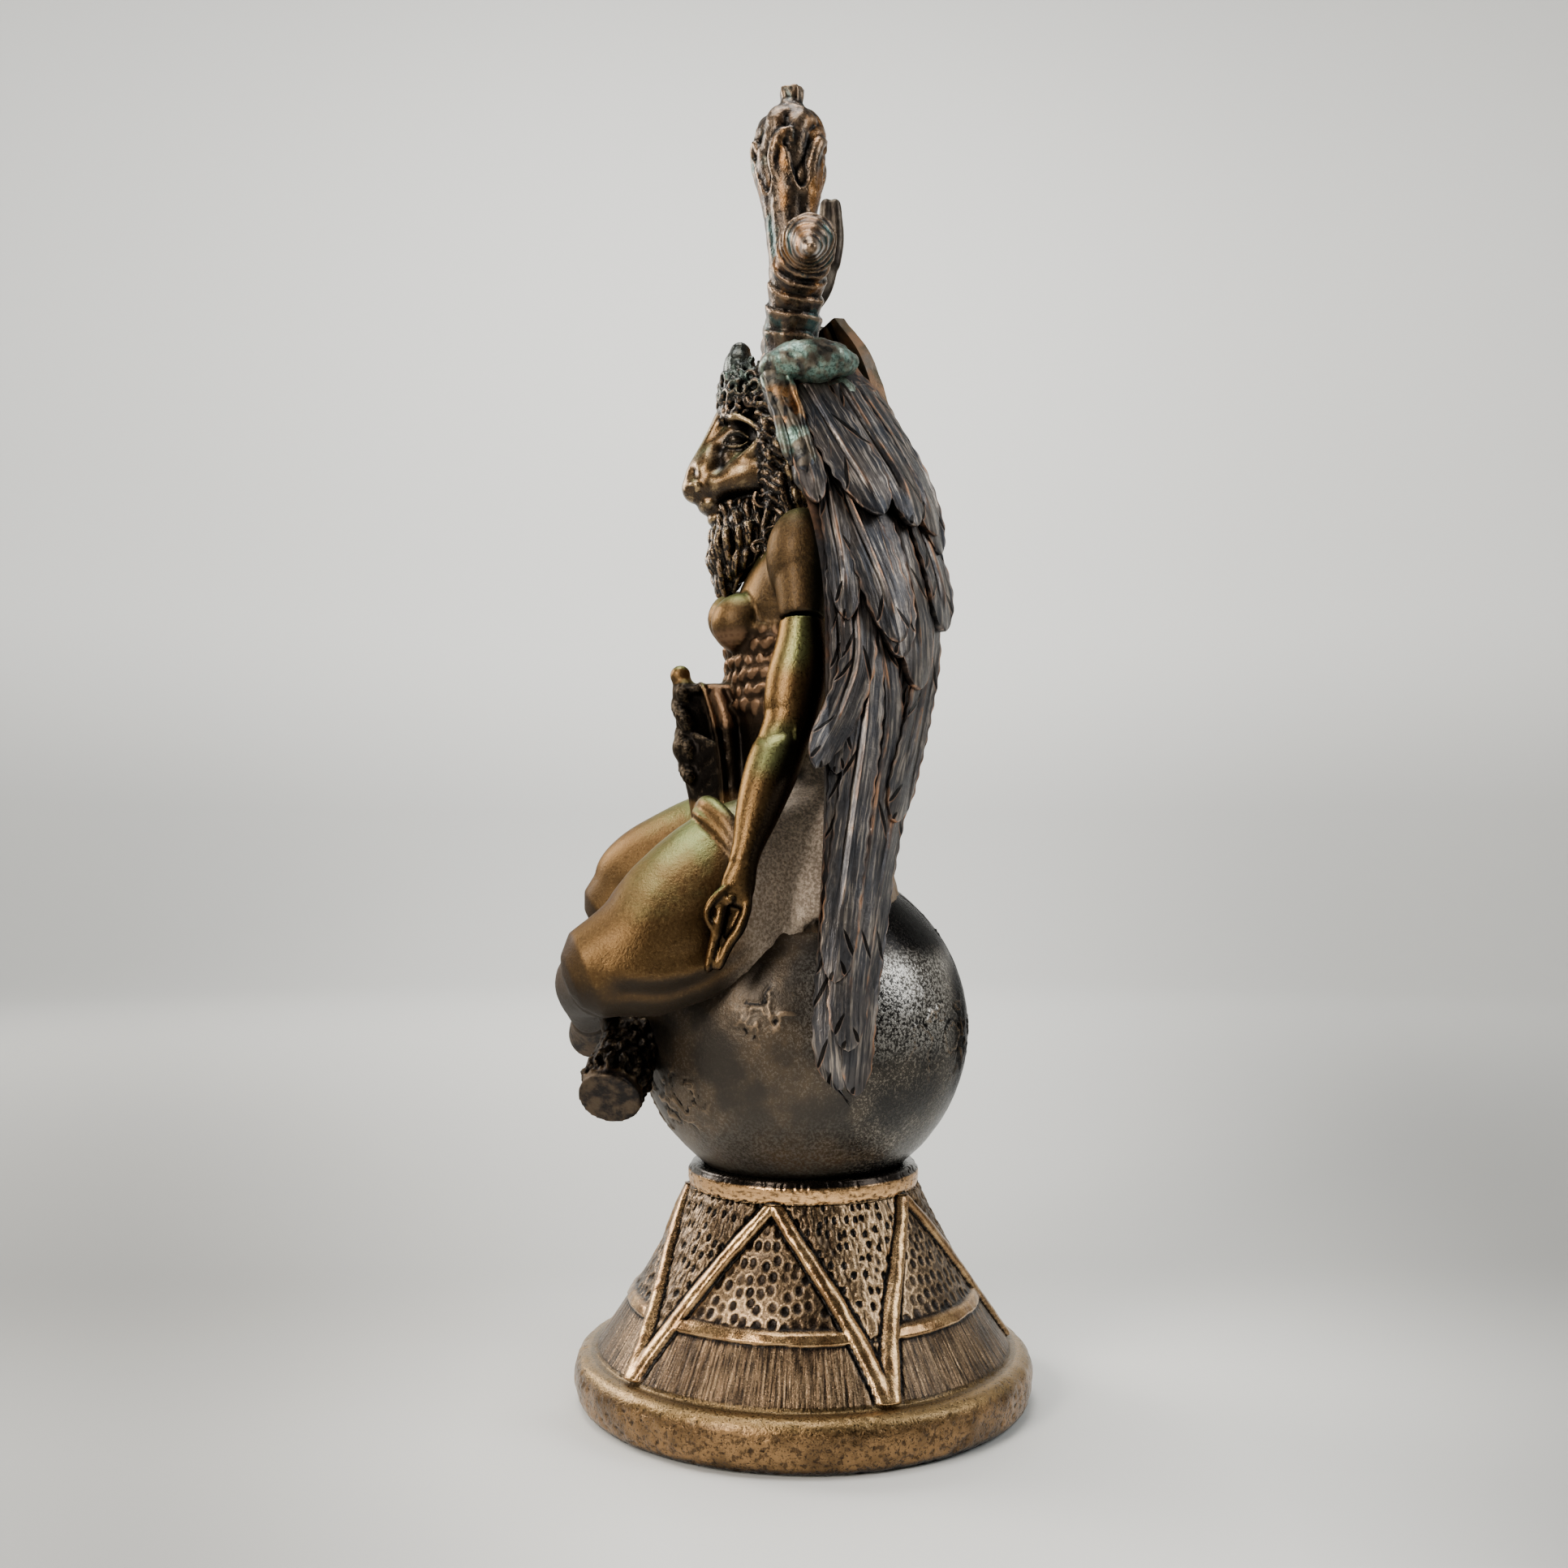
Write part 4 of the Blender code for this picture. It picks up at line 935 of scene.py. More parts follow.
# Hollows of the face: middle, how far they spread, depth
FACE_HOLLOWS = (
    ((6.4, -12.9, 78.3), (3.2, 3.2, 2.1), 2.4),
    ((4.6, -16.3, 77.2), (2.0, 1.5, 2.2), 1.2),
    ((4.9, -15.7, 74.3), (2.0, 1.5, 2.2), 0.9),
    ((4.4, -15.8, 71.6), (1.8, 1.6, 1.6), 0.5),
    ((3.5, -20.9, 69.0), (0.9, 0.7, 0.6), 0.6),
    ((6.0, -13.6, 65.9), (2.4, 3.6, 1.6), 0.9),
)
# Painted shade in the sockets, beside the nose and over the hollow behind the mouth
FACE_SHADES = (
    ((5.6, -12.9, 78.2), (3.4, 3.3, 2.4), 1.25),
    ((4.6, -15.8, 74.8), (2.2, 1.4, 3.6), 1.1),
    ((5.6, -12.8, 65.4), (4.5, 4.6, 2.1), 1.0),
    ((8.4, -10.0, 71.0), (2.6, 3.2, 3.0), 0.42),
    ((6.0, -8.6, 67.6), (4.0, 2.4, 2.2), 0.8),
)


def add_forelock(clay):
    """Short curls over the brow and the upright tuft between the horns."""
    ball(clay, (0, -6.2, 87.0), (8.4, 8.9, 5.4), tilt=0.2)
    limb(clay, [
        (0, -11.5, 89.4, 3.9, 3.7), (0, -11.8, 92, 3.6, 3.4), (0, -11.9, 94.4, 3.2, 2.9),
        (0, -11.8, 96.1, 2.4, 2.1),
    ], sides=24)
    for level, (high, reach_x, reach_y) in enumerate(((84.2, 8.8, 9.6), (86.8, 8.6, 10.2), (89.4, 7.8, 9.9),
                                                      (91.6, 5.6, 7.6))):
        columns = (13, 13, 12, 9)[level]
        for k in range(columns):
            turn = math.radians(-166 + 152 * (k + 0.3 * (level % 2)) / (columns - 1))
            spin = 1.9 * k + 2.6 * level
            middle = np.array((reach_x * math.cos(turn), -5.4 + reach_y * math.sin(turn),
                               high + 0.5 * math.sin(2.9 * k)))
            out = np.array((math.cos(turn), math.sin(turn), 0.2))
            side = np.array((-math.sin(turn), math.cos(turn), 0.0))
            rise = np.array((0.0, 0.0, 1.0))
            path = []
            for j in range(6):
                a = spin + 0.85 * j
                r = 1.5 - 0.16 * j
                path.append(middle + r * (side * math.cos(a) + rise * math.sin(a)) + out * 0.08 * j)
            strand(clay, path, 0.66, 0.48, steps=4)
    # Small curls run down over the brow
    for k in range(9):
        turn = math.radians(-150 + 120 * k / 8)
        strand(clay, [
            (7.6 * math.cos(turn), -6.2 + 8.6 * math.sin(turn), 85.6),
            (7.9 * math.cos(turn + 0.08), -6.2 + 9.2 * math.sin(turn + 0.08), 83.8),
            (7.9 * math.cos(turn - 0.05), -6.2 + 9.0 * math.sin(turn - 0.05), 82.2),
        ], 0.75, 0.50, wave=0.3, waves=1.2, phase=1.4 * k, steps=4)


def add_side_hair(clay):
    """Wavy locks from the temples past the cheeks, and down the back of the head."""
    for side in (-1, 1):
        limb(clay, on_side(side, [
            (6.4, -1.8, 84, 3, 5.6), (6.6, -1.6, 74, 3, 5.4), (6.2, -2.6, 66, 2.8, 4.6),
            (5.8, -3.4, 60.5, 2.4, 3.6),
        ]), sides=24)
        for k in range(7):
            back = -7.0 + 1.75 * k
            wide = 9.0 + 0.5 * math.sin(0.9 * k)
            foot = 59.4 + 0.6 * math.cos(2.1 * k) - 0.35 * k
            front = -5.6 + 1.3 * k
            strand(clay, on_side(side, [
                (wide - 1.0, back, 85.5), (wide, back - 0.2, 79.5), (wide + 0.3, back + 0.5, 73),
                (wide - 0.2, front, 66), (wide - 0.6, front + 0.2, foot),
            ]), 0.95, 0.75, wave=0.65, waves=4.3, phase=1.9 * k + side, steps=10)
        # Short wrinkled strands combed off the temple and cheek
        for k in range(11):
            high = 83.0 - 1.8 * k
            strand(clay, on_side(side, [
                (8.5, -8.8 + 0.14 * k, high + 0.4), (9.6, -6.8, high - 0.4), (10.3, -4.4, high - 2.2),
            ]), 0.68, 0.50, wave=0.25, waves=1.4, phase=1.7 * k, steps=7)
        # One long loop down behind the mouth, a ridge beside it and rolled curls at their foot
        strand(clay, on_side(side, [
            (9, -7.6, 75.6), (9.3, -6.8, 72.6), (9.5, -5.8, 68.2), (9.4, -6.9, 63.2), (9.2, -7.7, 59.9),
            (9, -7.3, 56.4), (9.2, -5.4, 54.9), (9.5, -4.5, 57.6),
        ]), 0.85, 0.70, wave=0.10, waves=3.0, steps=10)
        strand(clay, on_side(side, [
            (9.8, -4.6, 68.6), (10.2, -4, 65.4), (10.2, -2.8, 62.2), (9.8, -2.6, 59.2), (9.6, -4, 57),
        ]), 0.80, 0.65, wave=0.10, waves=2.0, steps=10)
        for k, (y, z, size) in enumerate(((-6.0, 58.2, 2.2), (-3.8, 61.8, 1.8), (-7.6, 65.6, 1.7),
                                          (-4.4, 65.4, 1.7), (-8.6, 56.4, 1.8))):
            path = []
            for j in range(10):
                a = 0.66 * j + 1.3 * k
                r = size * (1.0 - 0.075 * j)
                path.append((side * (9.4 + 0.06 * j), y + r * math.cos(a), z + r * math.sin(a)))
            strand(clay, path, 0.60, 0.42, steps=5)
    for k in range(11):
        turn = math.radians(12 + 156 * k / 10)
        path = [(reach * math.cos(turn), -2.0 + deep * math.sin(turn), high)
                for high, reach, deep in ((88, 7.2, 5.6), (81, 9.4, 8.8), (73, 9.2, 8.6), (65, 8.4, 7.4),
                                          (59, 7.2, 6.2))]
        strand(clay, path, 1.5, 1.0, wave=0.6, waves=3.2, phase=2.3 * k)


def add_beard(clay):
    limb(clay, [
        (0, -8.6, 66, 6, 5), (0, -9.8, 61.6, 6.3, 5.5), (0, -11.2, 57.6, 4.7, 4.4),
        (0, -12.9, 53.6, 2.7, 2.3), (0, -14.2, 51, 1.1, 0.9),
    ], sides=28)
    for layer, (count, swell, start) in enumerate(((17, 0.0, 63.6), (8, 0.9, 61.0))):
        for k in range(count):
            turn = math.radians(-100 + 200 * (k + 0.5 * layer) / (count - 1))
            lift = 0.8 * math.sin(4.1 * k + layer)
            path = []
            for reach, deep, front, high in ((6.2, 6.0, -9.4, start + lift), (7.3, 6.8, -9.9, 59.8 + lift),
                                             (6.0, 5.6, -11.3, 56.6), (3.9, 3.8, -12.7, 53.4),
                                             (1.6, 1.5, -14.0, 49.8 + 0.8 * abs(lift))):
                grow = 1.0 + 0.08 * swell
                path.append((reach * grow * math.sin(turn), front - deep * grow * math.cos(turn), high))
            strand(clay, path, 0.92, 0.50, wave=0.80, waves=2.1 + 0.3 * math.sin(k), phase=2.0 * k, steps=9)
    # Strands that hang in the hollow behind the mouth
    for side in (-1, 1):
        for k in range(5):
            strand(clay, on_side(side, [
                (4.4 + 0.6 * k, -15.0 + 1.5 * k, 65.6 + 0.2 * k), (5.4 + 0.5 * k, -14.4 + 1.3 * k, 62.8),
                (6.0 + 0.4 * k, -13.6 + 1.2 * k, 59),
            ]), 0.65, 0.50, wave=0.35, waves=1.6, phase=1.6 * k, steps=8)


HORN_RINGS = 12


def horn_form(angle, share):
    """Growth rings, steep on the side toward the tip."""
    ring = (share * HORN_RINGS + 0.16 * np.sin(angle + 5.0 * share) + 0.06 * np.sin(3.0 * angle + 2.0)) % 1.0
    step = 0.19 * ring ** 1.6 * fade(ring, 1.0, 0.12)
    dents = 0.022 * np.sin(3.0 * angle + 9.0 * share) + 0.014 * np.sin(7.0 * angle - 25.0 * share)
    return 0.92 + step + dents


def add_horns(clay):
    path = [(5, -2.8, 88, 5.2), (7.2, -2.5, 96, 5.2), (10.2, -2.1, 102.4, 5.1), (14.4, -1.2, 107, 5),
            (19.4, -0.2, 108.8, 4.9), (25, -0.3, 107, 4.1), (30.5, -0.7, 104, 2.7), (35.5, -1, 101, 1.1)]
    for side in (1, -1):
        limb(clay, on_side(side, path), across=FORE, sides=48, steps=24, form=horn_form)


# Heights and radii of the torch's leafy cup and of the flame in it
CUP = ((98, 3.9), (108, 4.0), (115, 4.3), (121, 4.9), (127, 6.0), (131, 6.7), (134.4, 7.0))
BULB = ((124, 4.6), (129, 5.6), (133, 6.4), (137, 6.8), (140, 6.5), (142.2, 5.2), (144, 3.2), (145.4, 2.1))
LEAVES = 5
TONGUES = 7


def cup_form(angle, share):
    """A cup cut into pointed leaves, which falls away inside the flame above their edges."""
    heights = np.array([row[0] for row in CUP], float)
    height = np.interp(share, np.linspace(0.0, 1.0, len(heights)), heights)
    tip = 0.5 + 0.5 * np.cos(LEAVES * (angle + 0.5 * math.pi))
    edge = 126.2 + 8.0 * tip ** 1.4
    fall = ease_in_out((height - edge) / 0.6)
    lip = 0.045 * np.exp(-((edge - height - 0.5) / 0.6) ** 2)
    crease = 0.07 * (1.0 - tip) ** 5 * ramp(height, 108.0, 10.0)
    return (1.0 + lip - crease) * (1.0 - 0.45 * fall)


def bulb_form(angle, share):
    """Flame tongues that swirl up the bulb, deep valleys between them."""
    swirl = 0.55 * np.sin(6.5 * share + 0.6) + 0.9 * share + 0.12 * np.sin(15.0 * share + 2.0 * angle)
    wave = np.abs(np.sin(0.5 * TONGUES * (angle + swirl)))
    second = np.abs(np.sin(0.5 * TONGUES * (angle - 0.5 * swirl) + 1.1))
    return 0.84 + 0.17 * wave ** 0.6 + 0.04 * second


def knob_form(angle, share):
    return 1.0 + 0.07 * np.sin(5.0 * angle) + 0.05 * np.sin(9.0 * angle + 6.0 * share)


def add_torch(clay):
    limb(clay, [(0, -2.2, z, r) for z, r in ((86, 4.0), (94, 3.8), (102, 3.8))], sides=48, steps=8)
    limb(clay, [(0, -2.2, z, r) for z, r in CUP], sides=90, steps=14, round_ends=False, form=cup_form)
    limb(clay, [(0, -2.2, z, r) for z, r in BULB], sides=90, steps=10, form=bulb_form)
    # The rough knob that the flame ends in
    limb(clay, [(0, -2, 143.6, 1.9), (0, -2, 145.4, 2.1), (0, -2, 147, 2.3), (0, -2, 148.4, 2.2)], sides=28,
         round_ends=False, form=knob_form)
    # Small tongues curl out of the cup between its leaves
    for k in range(LEAVES):
        turn = -0.36 + 2 * math.pi * k / LEAVES
        hook = []
        for lean, height, reach, thick in ((-0.10, 127.2, 5.2, 1.1), (-0.22, 131.6, 6.3, 1.3),
                                           (-0.06, 135.0, 6.9, 1.2), (0.22, 136.4, 6.9, 0.9),
                                           (0.32, 134.8, 6.7, 0.6)):
            a = turn + lean
            hook.append((reach * math.cos(a), -2.2 + reach * math.sin(a), height, thick, thick * 0.8))
        limb(clay, hook, across=(-math.sin(turn), math.cos(turn), 0.0), sides=14)


def hair_of(build):
    """Points of the forms that a builder adds, to tell hair from skin later, and its strands."""
    clay = Clay()
    build(clay)
    return np.vstack(clay.points)[::3], clay.strands


def spread_of(spots, hollows):
    """Sum of soft hollows, each a middle, how far it spreads and its depth, alike on both sides."""
    folded = spots.copy()
    folded[:, 0] = np.abs(folded[:, 0])
    total = np.zeros(len(spots))
    for middle, spread, deep in hollows:
        away = np.linalg.norm((folded - np.array(middle)) / np.array(spread), axis=1)
        total += deep * np.exp(-away ** 2)
    return total


def press_hollows(mesh):
    """Sockets, the hollows beside the nose and the dark hollow behind the mouth."""
    raise_skin(mesh, -spread_of(in_units(points_of(mesh)), FACE_HOLLOWS))


def build_head():
    clay = Clay()
    limb(clay, [(0, -2.2, 57, 6.4, 6), (0, -2.8, 63, 6.2, 6), (0, -3.5, 72, 6.2, 6.4)], sides=28)
    add_face(clay)
    face = clay.finish("figure_head")
    one_skin(face, HEAD_GRAIN, ease=FACE_EASE)
    press_hollows(face.data)
    rest = Clay()
    for add in (add_eyes, add_forelock, add_side_hair, add_beard):
        add(rest)
    join(face, rest.finish("hair"))
    one_skin(face, HEAD_GRAIN, share=HEAD_SHARE)
    mesh = face.data
    spots = in_units(points_of(mesh))
    hair = np.zeros(len(spots))
    strands = []
    for build in (add_forelock, add_side_hair, add_beard):
        cloud, runs = hair_of(build)
        hair = np.maximum(hair, near_cloud(spots, cloud, 0.5))
        strands += runs
    combed = combed_places(spots, strands, HEAD_MIDDLE)
    fibres = lumps(combed * (1, 0.5, 1), 0.60, seed=53)
    raise_skin(mesh, hair * FIBRE_DEPTH * fibres)
    mesh.shade_smooth()
    keep_value(mesh, "hair", hair)
    keep_value(mesh, "shade", np.clip(spread_of(spots, FACE_SHADES), 0.0, 1.0))
    keep_place(mesh, "combed", combed)
    wear_and_shade_marks(mesh)
    return face


def build_horns_torch():
    clay = Clay()
    add_horns(clay)
    add_torch(clay)
    obj = clay.finish("horns_torch")
    one_skin(obj, TORCH_GRAIN)
    mesh = obj.data
    spots = in_units(points_of(mesh))
    rough = 0.16 * lumps(spots, 0.9, seed=51)
    rough += 0.25 * lumps(spots, 2.8, seed=52)
    raise_skin(mesh, rough)
    mesh.shade_smooth()
    wear_and_shade_marks(mesh)
    return obj


# Wings

# Leading edge and trailing edge points of the left wing, from the wrist down to the tip
WING_ROWS = (
    (18, -7.2, 86, 12, 9, 89.5),
    (21, -5.8, 78, 10, 14.6, 84),
    (22.8, -3.5, 68.5, 10, 18.8, 75),
    (25.4, -0.6, 60, 10, 21.8, 64.5),
    (27.4, 1.5, 48, 11, 23.6, 52.5),
    (28.4, 2, 36, 12, 23.6, 40.5),
    (29.2, 2, 22, 14.5, 20.2, 28),
    (30, 1.8, 8, 17.8, 16.6, 13),
    (31, 1.2, -6, 22.5, 13.5, -2),
    (32.4, 0.2, -20, 28, 10.6, -16),
    (33.2, -0.4, -30, 31.6, 8.4, -29.5),
    (33.2, 3, -36, 32.6, 6.4, -36.5),
)
WING_THICKNESS = 2.2
WING_SWELL = 0.17
# Rows of points to a unit of a feather's length where its lanes are full in number
FULL_DENSITY = 2.6

# Feathers from the lowest layer up: centre line (y, z) seen from the side, width, rise
FEATHERS = (
    (((5.4, 40), (5.6, 22), (4.7, 4), (3.6, -12), (2.5, -27), (3.3, -37.8)), 6.2, 0.6),
    (((17, 34), (15.4, 18), (12, 2), (8.9, -14), (6.8, -28), (5.9, -38.2)), 5, 0.9),
    (((15.4, 50), (18.8, 34), (16, 18), (11.5, 0), (8.8, -14), (7.3, -24)), 5.2, 0.9),
    (((10, 44), (12.6, 26), (9.9, 10), (7.2, -6), (5.2, -20), (4.7, -31)), 6.2, 1.3),
    (((18, 52), (21.2, 40), (18.6, 26), (15.2, 14), (13, 6)), 5.4, 1.5),
    (((8, 52), (9.2, 38), (8.6, 24), (6.2, 8), (4, -8), (2.9, -20)), 5.8, 1.7),
    (((3.2, 62), (3.9, 50), (4.8, 38), (4.6, 26), (3.4, 14)), 4.6, 1.2),
    (((5, 58), (6.8, 46), (7.2, 34), (4.4, 25), (1.2, 18.8), (-0.4, 14.8)), 6, 2),
    (((14, 60), (16, 50), (17.4, 40), (17.4, 29)), 6, 1.9),
    (((16.8, 66), (20.2, 57), (22.2, 49), (22.6, 40.4)), 5.6, 2.2),
    (((9.6, 66), (11.4, 56), (13.2, 46), (14, 34)), 6.4, 2.3),
    (((2, 70), (3.4, 60), (4.8, 50), (5.4, 40)), 5, 2),
    (((5, 66), (8.4, 56), (11.6, 45.5), (13.4, 36.4)), 7.6, 2.8),
    (((11, 84.5), (15.8, 76), (20, 66.5), (22.4, 54.6)), 5.2, 2),
    (((8.6, 84.8), (13.8, 75.5), (18.4, 66), (20.8, 57.4)), 5.8, 2.5),
    (((5.6, 84.4), (10.2, 75), (14.4, 66), (16.6, 57.6)), 6.2, 2.9),
    (((-0.6, 84), (3.6, 75), (7.6, 66.5), (10.9, 58.6)), 8.4, 3.4),
    (((-4.4, 82), (-2.6, 74), (-0.4, 67), (0.6, 60.4)), 4.8, 2.4),
)


class Wing:
    """The curved outer face of a wing, found by share across and row down."""

    def __init__(self, side, lift):
        self.side, self.lift, self.steps = side, lift, 8
        self.rows = smooth_rows(WING_ROWS, self.steps)

    def row(self, down):
        spot = np.clip(down * self.steps, 0.0, len(self.rows) - 1.001)
        low = spot.astype(int)
        share = (spot - low)[..., None]
        row = self.rows[low] * (1.0 - share) + self.rows[low + 1] * share
        over = np.maximum(down - (len(WING_ROWS) - 1), 0.0) + np.minimum(down, 0.0)
        edge = np.where((down > 0)[..., None], self.rows[-1] - self.rows[-1 - self.steps],
                        self.rows[self.steps] - self.rows[0])
        row = row + over[..., None] * edge
        return row[..., :3], row[..., 3:]

    def point(self, across, down):
        lead, trail = self.row(down)
        chord = trail - lead
        length = np.linalg.norm(chord, axis=-1, keepdims=True)
        out = unit(np.stack([chord[..., 1], -chord[..., 0], 0 * chord[..., 0]], -1))
        inside = np.clip(across, 0.0, 1.0)[..., None]
        swell = WING_SWELL * length * np.sin(math.pi * inside)
        slope = WING_SWELL * math.pi * np.cos(math.pi * inside)
        face = unit(out - unit(chord) * slope)
        return lead + chord * across[..., None] + out * swell, face

    def find(self, y, z):
        """Share across and row down of the wing's point at (y, z) seen from the side."""
        heights = np.array([row[2] for row in WING_ROWS])
        down = np.interp(-z, -heights, np.arange(len(heights)))
        across = 0.5 + 0 * y
        step = 0.01
        for _ in range(12):
            spot = self.point(across, down)[0]
            low = (self.point(across, down + step)[0] - spot) / step
            wide = (self.point(across + step, down)[0] - spot) / step
            miss_y, miss_z = y - spot[..., 1], z - spot[..., 2]
            area = wide[..., 1] * low[..., 2] - wide[..., 2] * low[..., 1]
            area = np.where(np.abs(area) < 1.0, np.sign(area) * 1.0 + (area == 0), area)
            across = across + np.clip((miss_y * low[..., 2] - miss_z * low[..., 1]) / area, -0.3, 0.3)
            down = down + np.clip((miss_z * wide[..., 1] - miss_y * wide[..., 2]) / area, -1.0, 1.0)
            across = np.clip(across, -0.4, 1.4)
            down = np.clip(down, -0.8, len(WING_ROWS) + 0.2)
        return across, down

    def settle(self, spot, across):
        """Put left-wing points on this wing's own side, raised by its lift near the top."""
        height = np.maximum((spot[..., 2] - 40.0) / 50.0, 0.0)
        raised = self.lift * height ** 1.6
        back = 0.22 * raised * np.maximum(1.0 - across, 0.0)
        return np.stack([self.side * spot[..., 0], spot[..., 1] + back, spot[..., 2] + raised], -1)

    def stations(self, places):
        """A limb's stations, given for the left wing, on this wing's own side."""
        return [(*self.settle(np.array(s[:3], float), np.array(0.0)), *s[3:]) for s in places]

    def on_face(self, y, z, rise):
        across, down = self.find(y, z)
        spot, face = self.point(across, down)
        return self.settle(spot + face * rise[..., None], across)


def feather_relief(share, across, length, half, seed):
    """Height of a blade's shaft and of the grain along its vane."""
    offset = across * half
    shaft = 0.40 * np.exp(-(offset / 0.30) ** 2) - 0.36 * np.exp(-((offset + 0.74) / 0.28) ** 2)
    shaft = shaft * fade(share, 0.90, 0.2) * ease_in_out(share / 0.04)
    spots = np.stack([share * length * 0.16 + 40 * seed, offset, 0 * share], -1)
    return shaft + 0.24 * lumps(spots, 0.8, seed=seed)


def add_feather(clay, wing, line, width, rise, seed, density):
    """A long flat blade lying on the wing, with a raised shaft and a rounded tip."""
    path = smooth_rows(line, 14)
    gone = run_lengths(path)
    length = gone[-1]
    share = np.linspace(0.0, 1.0, int(length * density))
    # The rows close up toward the rounded tip
    share = np.clip(share + 0.015 * np.sin(2 * math.pi * share), 0.0, 1.0)
    middle = np.stack([np.interp(share * length, gone, path[:, k]) for k in (0, 1)], -1)
    run = unit(np.gradient(middle, axis=0))
    beside = np.stack([-run[:, 1], run[:, 0]], -1)
    blunt = min(1.5 * width / length, 0.42)
    tip = np.clip(1.0 - (np.clip(share - (1.0 - blunt), 0.0, None) / blunt) ** 2.2, 0.0008, 1.0) ** 0.60
    half = 0.5 * width * (0.72 + 0.28 * ease_in_out(share / 0.5)) * tip
    lanes = max(int(4.2 * width * min(density / FULL_DENSITY, 1.0)), 13)
    across = np.linspace(-1.0, 1.0, lanes)
    # Cut edges waver a little
    ragged = 1.0 + 0.05 * np.sin(1.9 * share * length + seed)[:, None] * np.abs(across) ** 3
    y, z = [middle[:, k:k + 1] + beside[:, k:k + 1] * across * half[:, None] * ragged for k in (0, 1)]
    crown = 1.0 - 0.14 * across ** 2
    base = (0.25 + (rise - 0.25) * ease_in_out(0.15 + 0.85 * share))[:, None] * crown
    relief = feather_relief(share[:, None] + 0 * across, across + 0 * share[:, None], length,
                            half[:, None] + 0 * across, seed)
    edge = fade(np.abs(across), 1.0, 0.08) * np.minimum(1.0, tip[:, None] / 0.5)
    top = wing.on_face(y, z, base + relief * edge)
    low = np.linspace(1.0, -1.0, 5)
    y, z = [middle[:, k:k + 1] + beside[:, k:k + 1] * low * (0.97 * half[:, None]) for k in (0, 1)]
    depth = np.maximum(rise * share[:, None] - 1.3, -0.9) + 0 * low
    under = wing.on_face(y, z, np.minimum(depth, base.min(axis=1, keepdims=True) - 0.5))
    # Each point keeps how far along and across the blade it lies, to cut its splits
    lane = np.concatenate([across, low])[None, :]
    gone = share[:, None] * length + 0 * lane
    notes = np.stack([gone, lane * half[:, None], 0 * gone + seed, np.abs(lane) + 0 * gone], -1)
    clay.skin(np.concatenate([top, under], axis=1), notes)


def add_wing_base(clay, wing, density):
    rows, lanes = int(95 * density / FULL_DENSITY), 26
    down = np.linspace(0.0, len(WING_ROWS) - 1.0, rows)[:, None]
    across = np.linspace(0.0, 1.0, lanes)[None, :]
    spot, face = wing.point(across + 0 * down, down + 0 * across)
    y, z = spot[..., 1], spot[..., 2]
    lines = np.stack([y, 0.12 * z, 0 * y], -1)
    outer = wing.settle(spot + face * (0.5 * lumps(lines, 0.7, seed=61))[..., None], across + 0 * down)
    back = np.linspace(0.98, 0.02, lanes)[None, :]
    spot, face = wing.point(back + 0 * down, down + 0 * back)
    # Long feather ridges on the inner face
    ridges = 0.5 * np.abs(np.sin(math.pi * 6.0 * (back + 0.04 * down))) + 0 * down
    inner = wing.settle(spot - face * (WING_THICKNESS + ridges)[..., None], back + 0 * down)
    clay.skin(np.concatenate([outer, inner], axis=1))


def add_wing_arm(clay, wing):
    """The wing's bony front, from the shoulder blade up to the rounded wrist."""
    blade = [(wing.side * 5, 2.5, 46, 4.6, 5)]
    limb(clay, blade + wing.stations([(11, 8, 56, 4.6), (14, 8, 70, 4, 5.4), (15.5, 3, 82, 4, 6)]), sides=32)
    # The smooth knuckle that caps the roots of the coverts
    limb(clay, wing.stations([(18, -6.6, 86.8, 3.2, 2.4), (19, -4, 87.2, 4.2, 3.5),
                              (19.6, -0.2, 87.5, 4.4, 4), (19, 3.2, 87.7, 4.2, 3.4),
                              (17.2, 6.4, 88.1, 3.2, 2.2)]), sides=36)
    limb(clay, wing.stations([(18.8, -5.6, 85.4, 2.6, 2.9), (20.6, -4.8, 79.4, 2.2, 2.6),
                              (22.2, -2.4, 73.4, 2.2, 2.3), (23.2, -1, 67.4, 2.2, 2.3),
                              (23.6, -0.2, 63.8, 1.5, 1.8)]), sides=24)
    # Wrinkles of skin down the front
    for shift, low in ((0.0, 70.0), (2.2, 72.0), (4.2, 69.0)):
        limb(clay, wing.stations([(19.4 + 0.3 * shift, -8.0 + shift, 84.6, 0.9, 0.8),
                                  (21.8 + 0.2 * shift, -6.6 + shift, 79.4, 0.8, 0.7),
                                  (23.6 + 0.1 * shift, -4.6 + shift, low + 2.0, 0.9, 0.8),
                                  (24, -3.4 + shift, low - 2.0, 0.6, 0.5)]), sides=12)


